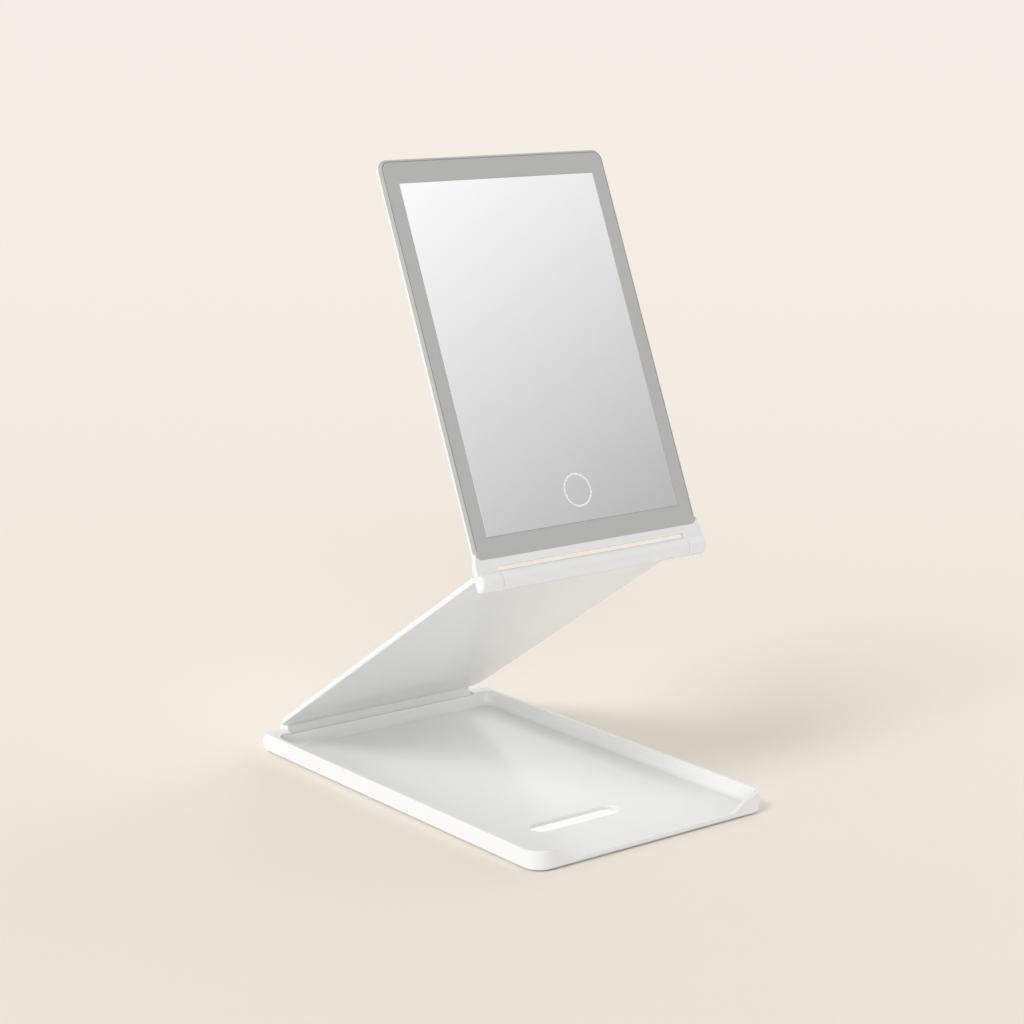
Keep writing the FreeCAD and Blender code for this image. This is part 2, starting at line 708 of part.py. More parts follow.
def mirror_mounting_tape():
    """Frame of double-sided tape between the mirror and the light box."""
    edge, side, foot = mirror_tape_edge, mirror_tape_side, mirror_tape_foot
    half = mirror_width / 2 - edge
    low, high = head_y(mirror_low) + edge, head_y(mirror_high) - edge
    sheet = slab(-half, half, low, high, chassis_top_z, mirror_back_z, tape_corner)
    return sheet.cut(slab(-half + side, half - side, low + foot, high - side, chassis_top_z - 1, face_z,
                          tape_corner))


# ---------------------------------------------------------------- head: light box
def ring_frame(reach_in, reach_out, z0, z1, corner=0.0):
    """Rectangular ring round the mirror: reaches outwards from the mirror's edge."""
    half = mirror_width / 2
    low, high = head_y(mirror_low), head_y(mirror_high)
    outer = slab(-half - reach_out, half + reach_out, low - reach_out, high + reach_out, z0, z1, corner)
    return outer.cut(box(-half - reach_in, half + reach_in, low - reach_in, high + reach_in, z0 - 1, z1 + 1))


def head_chassis():
    """White light box: centre plate, channel for the lights, and a flange under the window."""
    half = mirror_width / 2
    low, high = head_y(mirror_low), head_y(mirror_high)
    wall, floor_low, lap = light_wall, channel_floor_z - light_wall, channel_overlap
    channel_out = light_channel + 2 * wall
    flange = mirror_side_margin - head_side_wall - flange_gap
    corner = window_top_corner - head_side_wall - part_gap
    pieces = [box(-half - lap, half + lap, low - lap, high + lap, chassis_under_z, chassis_top_z),
              ring_frame(-lap, wall - lap, floor_low, chassis_top_z),
              ring_frame(-lap, channel_out - lap, floor_low, channel_floor_z, corner / 2),
              ring_frame(channel_out - wall - lap, channel_out - lap, floor_low, chassis_top_z, corner / 2),
              ring_frame(channel_out - wall - lap, flange, chassis_under_z, chassis_top_z, corner)]
    body = fuse(pieces)
    hole = screw_radius + screw_hole_gap
    for x, y in chassis_screw_places():
        body = body.cut(cylinder_z(x, y, 0, face_z, hole))
        body = body.cut(cylinder_z(x, y, chassis_top_z - screw_head_height, face_z,
                                   screw_head_radius + screw_hole_gap))
    port_low = head_y(usb_u) - usb_width / 2 - 1
    port_high = head_y(usb_u) + indicator_pitch + indicator_radius + 1
    body = body.cut(box(half - wall, head_width, port_low, port_high, 0, face_z))
    x0, x1 = led_flex_span()
    body = body.cut(box(x0 - part_gap, x1 + part_gap, low - 2 * wall, low + 1,
                        channel_floor_z - part_gap, channel_floor_z + wall))
    slot_y = head_y(touch_flex_u())
    slot_half = touch_flex_width / 2 + 6 * part_gap
    return body.cut(box(-slot_half, slot_half, slot_y - 4 * part_gap, slot_y + flex_thickness + 4 * part_gap,
                        0, face_z))


def led_strip_centre():
    """Distance from the mirror's edge to the middle of the light channel."""
    return light_wall - channel_overlap + light_channel / 2


def strip_spans():
    """Centre line of each light strip: (start, end) in plan."""
    offset = led_strip_centre()
    x = mirror_width / 2 + offset
    low, high = head_y(mirror_low) - offset, head_y(mirror_high) + offset
    clear = led_strip_width / 2 + 1.0
    port_top = head_y(usb_u) + indicator_pitch + indicator_radius + 2.0
    return {"left": ((-x, low + clear), (-x, high - clear)), "right": ((x, port_top), (x, high - clear)),
            "top": ((-x - 1, high), (x + 1, high)), "bottom": ((-x - 1, low), (x - 4, low))}


def led_strip(side):
    (ax, ay), (bx, by) = strip_spans()[side]
    w = led_strip_width / 2
    dx, dy = (w, 0) if ax == bx else (0, w)
    return box(ax - dx, bx + dx, ay - dy, by + dy, channel_floor_z, channel_floor_z + led_strip_thickness)


def led_chips(side):
    """Row of white light-emitting diodes, one solid each."""
    (ax, ay), (bx, by) = strip_spans()[side]
    length = math.hypot(bx - ax, by - ay)
    count = int((length - led_length - 2) / led_pitch) + 1
    z0 = channel_floor_z + led_strip_thickness
    chips = []
    for i in range(count):
        t = 0.5 + (i - (count - 1) / 2) * led_pitch / length
        x, y = ax + (bx - ax) * t, ay + (by - ay) * t
        lx, ly = (led_width, led_length) if ax == bx else (led_length, led_width)
        chips.append(box(x - lx / 2, x + lx / 2, y - ly / 2, y + ly / 2, z0, z0 + led_height))
    return Part.makeCompound(chips)


# ---------------------------------------------------------------- head: electronics
def board_corners():
    x1 = mirror_width / 2 - board_side_gap
    low = head_y(mirror_low) + board_foot_gap
    return x1 - board_length, x1, low, low + board_depth


def tongue_corners():
    """Part of the board that reaches out to the port."""
    x1 = board_corners()[1]
    y0 = head_y(usb_u) - usb_width / 2
    return x1 - board_corner, usb_mouth_x() - usb_depth - indicator_radius + usb_recess, y0, \
        head_y(usb_u) + indicator_pitch + indicator_radius + screw_tip_gap


def board_screw_places():
    x0, x1, low, high = board_corners()
    inset = board_screw_inset
    return [(x, y) for x in (x0 + inset, x1 - board_screw_clear) for y in (low + inset, high - inset)]


def main_circuit_board():
    x0, x1, low, high = board_corners()
    body = slab(x0, x1, low, high, board_z, board_z + board_thickness, board_corner)
    tx0, tx1, ty0, ty1 = tongue_corners()
    body = fuse([body, box(tx0, tx1, ty0, min(ty1, high), board_z, board_z + board_thickness)])
    for x, y in board_screw_places():
        body = body.cut(cylinder_z(x, y, 0, face_z, screw_radius + screw_hole_gap))
    return body.cut(usb_plug(part_gap, head_width))


def chip(share, side, z, height):
    """Square package centred at a share of the board's length and depth."""
    x0, x1, low, high = board_corners()
    x, y = x0 + (x1 - x0) * share[0], low + (high - low) * share[1]
    return box(x - side / 2, x + side / 2, y - side / 2, y + side / 2, z, z + height)


def board_parts():
    """Surface-mounted parts on the board: controller, charger, driver, coil, capacitors, charge light."""
    high = board_corners()[3]
    top = board_z + board_thickness
    parts = [chip(controller_share, controller_side, top, chip_height),
             chip(charger_share, charger_side, top, chip_height),
             chip(driver_share, driver_side, top, chip_height),
             chip(coil_share, coil_side, board_z - coil_height, coil_height)]
    length, depth, height = capacitor
    start = touch_flex_width / 2 + flex_clearance
    end = board_screw_places()[-1][0] - screw_head_radius - length
    row = high - capacitor_row_inset
    for i in range(int((end - start) / capacitor_pitch) + 1):
        x = start + i * capacitor_pitch
        parts.append(box(x, x + length, row, row + depth, top, top + height))
    length, depth, height = indicator_chip
    light, tip = head_y(usb_u) + indicator_pitch, tongue_corners()[1]
    parts.append(box(tip - length, tip, light - depth / 2, light + depth / 2, top, top + height))
    return Part.makeCompound(parts)


def usb_plug(grow, x_end):
    """Rounded bar through the port, for its opening and for the board's cut-out."""
    x0 = usb_mouth_x() - usb_depth - grow
    y, z = head_y(usb_u), usb_z
    h, w = usb_height / 2 + grow, usb_width / 2 + grow
    k = w - h
    bar = box(x0, x_end, y - k, y + k, z - h, z + h)
    for s in (-1, 1):
        bar = bar.fuse(cylinder_x(x0, x_end, y + s * k, z, h))
    return bar.removeSplitter()


def side_surface_x(z):
    """X of the housing's rounded side at height z, when shut."""
    drop = max(head_back_z + head_back_round - z, 0)
    return window_width / 2 - head_back_round + math.sqrt(head_back_round ** 2 - drop ** 2)


def usb_mouth_x():
    return side_surface_x(usb_z - usb_height / 2) - usb_recess


def usb_c_shell():
    """Steel shell of the charging socket."""
    shell = usb_plug(0, usb_mouth_x())
    return shell.cut(usb_plug(-usb_wall, head_width))


def usb_c_tongue():
    """Contact tongue inside the socket, on its moulded back."""
    x0 = usb_mouth_x() - usb_depth
    y = head_y(usb_u)
    back = usb_plug(-usb_wall, x0 + usb_back)
    half, thick = usb_blade_width / 2, usb_blade_thickness / 2
    blade = box(x0 + usb_wall, x0 + usb_depth - usb_blade_setback, y - half, y + half,
                usb_z - thick, usb_z + thick)
    return fuse([back, blade])


def indicator_rod(grow, x_end):
    x0 = tongue_corners()[1] + 3 * part_gap
    return cylinder_x(x0 - grow, x_end, head_y(usb_u) + indicator_pitch, usb_z, indicator_radius + grow)


def charge_light_pipe():
    return indicator_rod(0, side_surface_x(usb_z - indicator_radius) - part_gap)


def battery_box():
    """Corners of the battery, above the board and centred across the head."""
    low = board_corners()[3] + battery_above_board
    return -battery_width / 2, battery_width / 2, low, low + battery_length


def battery_pouch():
    x0, x1, y0, y1 = battery_box()
    z0 = housing_floor_z + tape_thickness
    z1 = z0 + battery_thickness
    pouch = slab(x0, x1, y0, y1, z0, z1, battery_corner)
    return pouch.makeFillet(battery_edge_round, edges_at(pouch, lambda p: near(p.z, z0) or near(p.z, z1)))


def battery_mounting_tape():
    x0, x1, y0, y1 = battery_box()
    inset = battery_tape_inset
    return box(x0 + inset, x1 - inset, y0 + inset, y1 - inset, housing_floor_z,
               housing_floor_z + tape_thickness)


def protection_board():
    y0 = battery_box()[2]
    z0 = housing_floor_z + protection_lift
    half = protection_length / 2
    return box(-half, half, y0 - protection_depth, y0, z0, z0 + protection_thickness)


def protection_parts():
    """Three small packages on the protection board."""
    length, depth, height = protection_chip
    middle = battery_box()[2] - protection_depth / 2
    z0 = housing_floor_z + protection_lift + protection_thickness
    parts = []
    for step in (-2, -1, 1):
        x = step * protection_chip_pitch
        parts.append(box(x, x + length, middle - depth / 2, middle + depth / 2, z0, z0 + height))
    return Part.makeCompound(parts)


def battery_lead(x_battery, x_board):
    """Insulated lead from the protection board to the underside of the main board."""
    z = board_z - lead_radius
    start, end = battery_box()[2] - protection_depth, board_corners()[3] - flex_lap
    run = start - end
    shift = x_board - x_battery
    bend = 2 * math.atan2(abs(shift), run * 0.75)
    radius = abs(shift) / 2 / (1 - math.cos(bend))
    sign = 1 if shift > 0 else -1
    y1 = start - (run - 2 * radius * math.sin(bend)) / 2
    y2 = y1 - 2 * radius * math.sin(bend)

    def first(a):
        return V(x_battery + sign * radius * (1 - math.cos(a)), y1 - radius * math.sin(a), z)

    def second(a):
        return V(x_board - sign * radius * (1 - math.cos(a)), y2 + radius * math.sin(a), z)

    path = Part.Wire([Part.LineSegment(V(x_battery, start, z), V(x_battery, y1, z)).toShape(),
                      Part.Arc(first(0), first(bend / 2), first(bend)).toShape(),
                      Part.Arc(second(bend), second(bend / 2), second(0)).toShape(),
                      Part.LineSegment(V(x_board, y2, z), V(x_board, end, z)).toShape()])
    ring = Part.Wire(Part.makeCircle(lead_radius, V(x_battery, start, z), V(0, 1, 0)))
    lead = path.makePipeShell([ring], True, True)
    if lead.Volume < 0:
        lead.reverse()
    return lead


def led_flex_span():
    x0 = board_corners()[0] + led_flex_inset
    return x0, x0 + led_flex_width


def led_flex_cable():
    """Flat flexible cable from the lower light strip to the board's underside."""
    x0, x1 = led_flex_span()
    start = strip_spans()["bottom"][0][1] + led_strip_width / 2
    z = board_z - flex_thickness
    low = channel_floor_z + led_strip_thickness - flex_thickness
    foot = board_corners()[2]
    step = foot - board_foot_gap / 2
    pieces = [box(x0, x1, start, step, low, low + flex_thickness),
              box(x0, x1, step - flex_thickness, step, min(low, z), max(low, z) + flex_thickness),
              box(x0, x1, step - flex_thickness, foot + flex_lap, z, z + flex_thickness)]
    return fuse(pieces)


def touch_flex_u():
    """Where the touch cable dives through the chassis, along the head."""
    return board_corners()[3] - touch_flex_inset - upper_y


def touch_flex_cable():
    """Flat flexible cable from the touch key through the chassis to the board."""
    half, thick = touch_flex_width / 2, flex_thickness
    y_slot = head_y(touch_flex_u())
    top = mirror_back_z - electrode_thickness + thick
    under = board_z + board_thickness
    edge = head_y(ring_u) + ring_diameter / 2 - electrode_inset - 2 * part_gap
    pieces = [box(-half, half, edge, y_slot + thick, top - thick, top),
              box(-half, half, y_slot, y_slot + thick, under, top),
              box(-half, half, y_slot - flex_lap, y_slot + thick, under, under + thick)]
    return fuse(pieces).cut(touch_electrode())


def screws(places, seat):
    """Pan-head screws: head on the seat, shank down almost to the floor of its hole."""
    tip = housing_floor_z + screw_floor + screw_tip_gap
    drive_floor = seat + screw_head_height - drive_depth
    made = []
    for x, y in places:
        body = cylinder_z(x, y, seat, seat + screw_head_height, screw_head_radius)
        body = body.fuse(cylinder_z(x, y, tip, seat, screw_radius))
        for long, wide in ((drive_length / 2, drive_width / 2), (drive_width / 2, drive_length / 2)):
            body = body.cut(box(x - long, x + long, y - wide, y + wide, drive_floor, seat + 1))
        made.append(body.removeSplitter())
    return Part.makeCompound(made)


def chassis_screws():
    return screws(chassis_screw_places(), chassis_top_z - screw_head_height)


def board_screws():
    return screws(board_screw_places(), board_z + board_thickness)


# ---------------------------------------------------------------- bodies
def tray_nodes():
    nodes = {"base_tray": base_tray()}
    for place in foot_places():
        nodes["rubber_foot_" + place] = foot(place)
    for name, side in (("left", -1), ("right", 1)):
        nodes["lower_hinge_pin_" + name] = hinge_pin(side, lower_seam, lower_y, lower_z)
    return nodes


def lid_nodes():
    nodes = {"lid_inner_panel": lid_inner_panel(), "lid_outer_cover": lid_outer_cover(),
             "lid_stiffener_plate": lid_stiffener_plate(), "lid_bonding_tape": lid_bonding_tape()}
    for name, side in (("left", -1), ("right", 1)):
        nodes["lower_friction_sleeve_" + name] = friction_sleeve(side, lower_seam, lower_y, lower_z)
        nodes["upper_friction_sleeve_" + name] = friction_sleeve(side, upper_seam, upper_y, upper_z)
    return nodes


def head_nodes():
    nodes = {"head_rear_housing": head_rear_housing(), "light_window_frame": light_window_frame(),
             "mirror_pane": mirror_pane(), "touch_key_ring": touch_key_ring(),
             "touch_electrode": touch_electrode(), "mirror_mounting_tape": mirror_mounting_tape(),
             "head_chassis": head_chassis(), "main_circuit_board": main_circuit_board(),
             "board_parts": board_parts(), "usb_c_shell": usb_c_shell(), "usb_c_tongue": usb_c_tongue(),
             "charge_light_pipe": charge_light_pipe(), "battery_pouch": battery_pouch(),
             "battery_mounting_tape": battery_mounting_tape(), "protection_board": protection_board(),
             "protection_parts": protection_parts(), "led_flex_cable": led_flex_cable(),
             "touch_flex_cable": touch_flex_cable(), "chassis_screws": chassis_screws(),
             "board_screws": board_screws()}
    for pole, (x_battery, x_board) in lead_places.items():
        nodes["battery_lead_" + pole] = battery_lead(x_battery, x_board)
    for side in strip_spans():
        nodes["led_strip_" + side] = led_strip(side)
        nodes["led_chips_" + side] = led_chips(side)
    for name, side in (("left", -1), ("right", 1)):
        nodes["upper_hinge_pin_" + name] = hinge_pin(side, upper_seam, upper_y, upper_z)
    return nodes


def stand_up(shape, with_head):
    """Turn a piece from the shut pose to the standing pose."""
    shape = shape.copy()
    if with_head:
        shape.rotate(V(0, upper_y, upper_z), X_AXIS, -head_open)
    shape.rotate(V(0, lower_y, lower_z), X_AXIS, -lid_open)
    return shape


def main():
    os.makedirs("parts", exist_ok=True)
    shapes = dict(tray_nodes())
    shapes.update({name: stand_up(shape, False) for name, shape in lid_nodes().items()})
    shapes.update({name: stand_up(shape, True) for name, shape in head_nodes().items()})
    for name, shape in shapes.items():
        shape.exportStep(os.path.join("parts", name + ".step"))
    print(len(shapes), "nodes")


main()
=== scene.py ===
"""Looks of a trifold vanity mirror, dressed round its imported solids.

The object has three bodies: a base tray, a lid that slants up from the tray's rear edge, and a lit
mirror head on the lid's front edge. Each sub-assembly is a class that builds its pieces and gives
them their finishes. All lengths are in metres.
"""
import json
import logging
import math
from dataclasses import dataclass, field, replace
from enum import Enum
from typing import Callable, Iterable, Sequence

import bmesh
import bpy
from mathutils import Matrix, Vector


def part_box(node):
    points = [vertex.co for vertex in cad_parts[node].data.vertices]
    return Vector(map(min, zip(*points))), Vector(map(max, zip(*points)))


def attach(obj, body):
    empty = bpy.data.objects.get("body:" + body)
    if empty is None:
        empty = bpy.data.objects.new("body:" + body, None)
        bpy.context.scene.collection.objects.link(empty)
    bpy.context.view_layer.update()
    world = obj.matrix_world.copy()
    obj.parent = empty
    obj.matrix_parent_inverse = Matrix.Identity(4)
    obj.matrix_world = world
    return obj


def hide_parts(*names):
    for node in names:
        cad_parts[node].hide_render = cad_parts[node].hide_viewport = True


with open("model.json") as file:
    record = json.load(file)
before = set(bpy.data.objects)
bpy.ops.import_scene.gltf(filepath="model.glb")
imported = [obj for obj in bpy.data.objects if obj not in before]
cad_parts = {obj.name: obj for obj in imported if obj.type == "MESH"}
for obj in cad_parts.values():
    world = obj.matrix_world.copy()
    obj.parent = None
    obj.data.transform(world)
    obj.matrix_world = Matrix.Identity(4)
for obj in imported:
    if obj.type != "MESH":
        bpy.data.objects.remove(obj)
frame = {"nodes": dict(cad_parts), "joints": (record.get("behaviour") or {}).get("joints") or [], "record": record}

logging.basicConfig(level=logging.INFO, format="%(name)s: %(message)s")
log = logging.getLogger("mirror")

MM = 0.001
MERGE_DISTANCE = 5e-6               # corners of a copied shell this close together become one
SLIVER = 1e-7                       # shortest edge that is kept
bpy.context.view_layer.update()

LID_OPEN = math.radians(33.2)       # lid above the tray, at rest
HEAD_OPEN = math.radians(260.2)     # head from its folded place, at rest

Colour = tuple[float, float, float]
Socket = bpy.types.NodeSocket


class Body(Enum):
    """Bodies that a piece can ride on."""

    BASE = "base"
    LID = "lid"
    HEAD = "head"


# ---------------------------------------------------------------- node helpers
class NodeSheet:
    """Short way to lay out shader nodes in one tree."""

    def __init__(self, tree: bpy.types.NodeTree) -> None:
        """Keep the tree that the nodes go into.

        Args:
            tree: Node tree of a material, world or group.
        """
        self.tree = tree

    def add(self, kind: str, settings: dict | None = None, **inputs: object) -> bpy.types.Node:
        """Add a node, set its properties and fill its inputs.

        Args:
            kind: Node type name.
            settings: Properties of the node itself.
            **inputs: Input name (underscores for spaces) or i0, i1 for a numbered input, with a
                value or a socket to link.

        Returns:
            The new node.
        """
        node = self.tree.nodes.new(kind)
        for key, value in (settings or {}).items():
            setattr(node, key, value)
        for key, value in inputs.items():
            numbered = key[0] == "i" and key[1:].isdigit()
            socket = node.inputs[int(key[1:]) if numbered else key.replace("_", " ")]
            if isinstance(value, Socket):
                self.tree.links.new(value, socket)
            else:
                socket.default_value = value
        return node

    def math(self, operation: str, first: object, second: object = 0.0) -> Socket:
        """Add a Math node.

        Args:
            operation: Operation name.
            first: Value or socket.
            second: Value or socket.

        Returns:
            The result socket.
        """
        return self.add("ShaderNodeMath", {"operation": operation}, i0=first, i1=second).outputs[0]

    def remap(self, value: Socket, low: float, high: float, to_low: float, to_high: float) -> Socket:
        """Map a value linearly from one range to another, clamped.

        Args:
            value: Socket to map.
            low: Start of the source range.
            high: End of the source range.
            to_low: Result at the start.
            to_high: Result at the end.

        Returns:
            The result socket.
        """
        return self.add("ShaderNodeMapRange", None, Value=value, From_Min=low, From_Max=high,
                        To_Min=to_low, To_Max=to_high).outputs[0]

    def mix(self, share: object, first: object, second: object) -> Socket:
        """Mix two colours.

        Args:
            share: Part of the second colour, from 0 to 1.
            first: First colour or socket.
            second: Second colour or socket.

        Returns:
            The colour socket.
        """
        node = self.add("ShaderNodeMix", {"data_type": "RGBA"})
        for index, value in ((0, share), (6, first), (7, second)):
            if isinstance(value, Socket):
                self.tree.links.new(value, node.inputs[index])
            else:
                node.inputs[index].default_value = value
        return node.outputs[2]

    def noise(self, vector: Socket, scale: object, detail: float = 2.0, roughness: float = 0.5) -> Socket:
        """Add a noise texture.

        Args:
            vector: Coordinates.
            scale: Noise scale, per metre.
            detail: Octaves.
            roughness: Weight of the finer octaves.

        Returns:
            The noise value.
        """
        return self.add("ShaderNodeTexNoise", None, Vector=vector, Scale=scale, Detail=detail,
                        Roughness=roughness).outputs[0]

    def object_coordinates(self) -> Socket:
        """Coordinates of the piece, in metres."""
        return self.add("ShaderNodeTexCoord").outputs["Object"]


def rgba(colour: Colour) -> tuple[float, float, float, float]:
    """Colour with full alpha."""
    return (*colour, 1.0)


def scaled(colour: Colour, factor: float) -> Colour:
    """Colour made lighter or darker."""
    return tuple(min(1.0, c * factor) for c in colour)


# ---------------------------------------------------------------- shared effects
WAVE_SCALE, CLOUD_SCALE = 18.0, 9.0         # slow waviness and cloudy tone of a moulded skin
WAVE_SHARE, PEEL_SHARE = 0.6, 0.4           # their parts of the relief
WIPE_TURN = (0.3, 0.5, 0.7)                 # lie of the wiping lines
WIPE_STRETCH = (26.0, 900.0, 260.0)
SMEAR_SCALE, SPECK_SCALE, PATCH_SCALE = 22.0, 1400.0, 35.0
SKIN_SHARE, MARK_SHARE = 0.6, 0.4           # parts of the roughness range left to skin and to marks


@dataclass(frozen=True)
class EffectGroup:
    """A shader node group with named inputs and outputs, made once."""

    name: str
    inputs: tuple[tuple[str, str, float], ...]
    outputs: tuple[tuple[str, str], ...]
    fill: Callable[[NodeSheet, dict[str, Socket]], dict[str, Socket]]

    def tree(self) -> bpy.types.NodeTree:
        """Find or build the group.

        Returns:
            The node tree of the group.
        """
        found = bpy.data.node_groups.get(self.name)
        if found:
            return found
        tree = bpy.data.node_groups.new(self.name, "ShaderNodeTree")
        for name, kind, default in self.inputs:
            socket = tree.interface.new_socket(name, in_out="INPUT", socket_type=kind)
            if kind == "NodeSocketFloat":
                socket.default_value = default
        for name, kind in self.outputs:
            tree.interface.new_socket(name, in_out="OUTPUT", socket_type=kind)
        sheet = NodeSheet(tree)
        entry = sheet.add("NodeGroupInput")
        leave = sheet.add("NodeGroupOutput")
        results = self.fill(sheet, {socket.name: socket for socket in entry.outputs})
        for name, socket in results.items():
            tree.links.new(socket, leave.inputs[name])
        return tree

    def place(self, sheet: NodeSheet, **inputs: object) -> dict[str, Socket]:
        """Put the group into a material.

        Args:
            sheet: Where it goes.
            **inputs: Values or sockets for the group's inputs.

        Returns:
            Output sockets by name.
        """
        node = sheet.add("ShaderNodeGroup", {"node_tree": self.tree()}, **inputs)
        return {socket.name: socket for socket in node.outputs}


def fill_moulding(sheet: NodeSheet, entry: dict[str, Socket]) -> dict[str, Socket]:
    """Skin of a moulded part: a slow waviness, a fine orange peel and a cloudy tone.

    Args:
        sheet: The group's nodes.
        entry: The group's inputs.

    Returns:
        Output sockets by name.
    """
    at = entry["Vector"]
    slow = sheet.noise(at, WAVE_SCALE, 2.0)
    peel = sheet.noise(at, entry["Grain Scale"], 3.0, 0.55)
    cloud = sheet.noise(at, CLOUD_SCALE, 4.0, 0.6)
    height = sheet.math("ADD", sheet.math("MULTIPLY", slow, WAVE_SHARE),
                        sheet.math("MULTIPLY", peel, PEEL_SHARE))
    return {"Height": height, "Peel": peel, "Cloud": cloud}


def fill_handling(sheet: NodeSheet, entry: dict[str, Socket]) -> dict[str, Socket]:
    """Traces of use: hair-fine wiping lines and soft fingertip smears.

    Args:
        sheet: The group's nodes.
        entry: The group's inputs.

    Returns:
        Output sockets by name.
    """
    at = entry["Vector"]
    turned = sheet.add("ShaderNodeMapping", None, Vector=at, Rotation=WIPE_TURN,
                       Scale=WIPE_STRETCH).outputs[0]
    lines = sheet.noise(turned, 1.0, 2.0, 0.7)
    fine = sheet.remap(lines, 0.62, 0.74, 0.0, 1.0)
    smear = sheet.remap(sheet.noise(at, SMEAR_SCALE, 3.0, 0.55), 0.52, 0.74, 0.0, 1.0)
    worn = sheet.math("MULTIPLY", fine, entry["Scratches"])
    oily = sheet.math("MULTIPLY", smear, entry["Smears"])
    return {"Mask": sheet.math("MINIMUM", sheet.math("ADD", worn, oily), 1.0)}


def fill_dust(sheet: NodeSheet, entry: dict[str, Socket]) -> dict[str, Socket]:
    """Thin dust that settles on faces that look up.

    Args:
        sheet: The group's nodes.
        entry: The group's inputs.

    Returns:
        Output sockets by name.
    """
    normal = sheet.add("ShaderNodeNewGeometry").outputs["Normal"]
    up = sheet.add("ShaderNodeSeparateXYZ", None, Vector=normal).outputs["Z"]
    facing = sheet.remap(up, 0.55, 0.95, 0.0, 1.0)
    specks = sheet.remap(sheet.noise(entry["Vector"], SPECK_SCALE, 2.0), 0.56, 0.70, 0.0, 1.0)
    patches = sheet.remap(sheet.noise(entry["Vector"], PATCH_SCALE, 3.0), 0.40, 0.70, 0.0, 1.0)
    mask = sheet.math("MULTIPLY", sheet.math("MULTIPLY", specks, patches), facing)
    return {"Mask": sheet.math("MULTIPLY", mask, entry["Amount"])}


VECTOR, FLOAT = "NodeSocketVector", "NodeSocketFloat"
MOULDING = EffectGroup("moulded_skin", (("Vector", VECTOR, 0.0), ("Grain Scale", FLOAT, 900.0)),
                       (("Height", FLOAT), ("Peel", FLOAT), ("Cloud", FLOAT)), fill_moulding)
HANDLING = EffectGroup("handling_marks",
                       (("Vector", VECTOR, 0.0), ("Scratches", FLOAT, 0.3), ("Smears", FLOAT, 0.3)),
                       (("Mask", FLOAT),), fill_handling)
DUST = EffectGroup("settled_dust", (("Vector", VECTOR, 0.0), ("Amount", FLOAT, 0.2)),
                   (("Mask", FLOAT),), fill_dust)
DUST_COLOUR: Colour = (0.60, 0.58, 0.55)


# ---------------------------------------------------------------- finishes
@dataclass(frozen=True)
class Finish:
    """A surface finish: a tone that varies a little, a roughness range and a fine relief."""

    name: str
    colour: Colour
    shade: float = 0.96             # darker tone of the cloudy variation
    metallic: float = 0.0
    polished: float = 0.25          # roughness where the skin is smoothest
    dull: float = 0.38              # roughness where it is dullest
    grain_scale: float = 900.0
    relief: float = 0.08
    relief_depth: float = 0.02 * MM
    scratches: float = 0.25
    smears: float = 0.15
    dust: float = 0.0
    coat: float = 0.0
    coat_roughness: float = 0.08
    ior: float = 1.5

    def material(self) -> bpy.types.Material:
        """Find or build the material.

        Returns:
            The material of this finish.
        """
        title = self.name + "_finish"
        found = bpy.data.materials.get(title)
        if found:
            return found
        material = bpy.data.materials.new(title)
        material.use_nodes = True
        material.diffuse_color = rgba(self.colour)
        material.node_tree.nodes.clear()
        sheet = NodeSheet(material.node_tree)
        shader = sheet.add("ShaderNodeBsdfPrincipled", None, Metallic=self.metallic, IOR=self.ior,
                           Coat_Weight=self.coat, Coat_Roughness=self.coat_roughness)
        sheet.add("ShaderNodeOutputMaterial", None, Surface=shader.outputs[0])
        at = sheet.object_coordinates()
        colour, roughness, height = self.layers(sheet, at)
        bump = sheet.add("ShaderNodeBump", None, Strength=self.relief, Distance=self.relief_depth,
                         Height=height)
        for socket, name in ((colour, "Base Color"), (roughness, "Roughness"), (bump.outputs[0], "Normal")):
            material.node_tree.links.new(socket, shader.inputs[name])
        return material

    def layers(self, sheet: NodeSheet, at: Socket) -> tuple[Socket, Socket, Socket]:
        """Lay out the finish's colour, roughness and relief.

        Args:
            sheet: The material's nodes.
            at: Object coordinates.

        Returns:
            Sockets for colour, roughness and height.
        """
        skin = MOULDING.place(sheet, Vector=at, Grain_Scale=self.grain_scale)
        marks = HANDLING.place(sheet, Vector=at, Scratches=self.scratches, Smears=self.smears)
        colour = sheet.mix(skin["Cloud"], rgba(scaled(self.colour, self.shade)), rgba(self.colour))
        if self.dust > 0:
            settled = DUST.place(sheet, Vector=at, Amount=self.dust)
            colour = sheet.mix(settled["Mask"], colour, rgba(DUST_COLOUR))
        spread = self.dull - self.polished
        plain = sheet.remap(skin["Peel"], 0.3, 0.7, self.polished, self.polished + spread * SKIN_SHARE)
        roughness = sheet.math("ADD", plain, sheet.math("MULTIPLY", marks["Mask"], spread * MARK_SHARE))
        return colour, roughness, skin["Height"]


@dataclass(frozen=True)
class FrostedWindow(Finish):
    """Diffusing sheet: a matt grey face with a very fine sparkle painted into its colour as lighter specks
    (painted glints).
    """

    sparkle_scale: float = 5200.0
    sparkle: float = 0.05
    sparkle_gain: float = 1.6       # how much lighter the painted glints are

    def layers(self, sheet: NodeSheet, at: Socket) -> tuple[Socket, Socket, Socket]:
        """Colour with fine painted glints, lighter specks, over the moulded tone.

        Args:
            sheet: The material's nodes.
            at: Object coordinates.

        Returns:
            Sockets for colour, roughness and height.
        """
        colour, roughness, _ = super().layers(sheet, at)
        grit_and_glint = sheet.noise(at, self.sparkle_scale, 2.0, 0.6)
        share = sheet.remap(grit_and_glint, 0.35, 0.65, 0.0, self.sparkle)
        # Painted glints: fine lighter specks mixed into the colour.
        colour = sheet.mix(share, colour, rgba(scaled(self.colour, self.sparkle_gain)))
        return colour, roughness, grit_and_glint


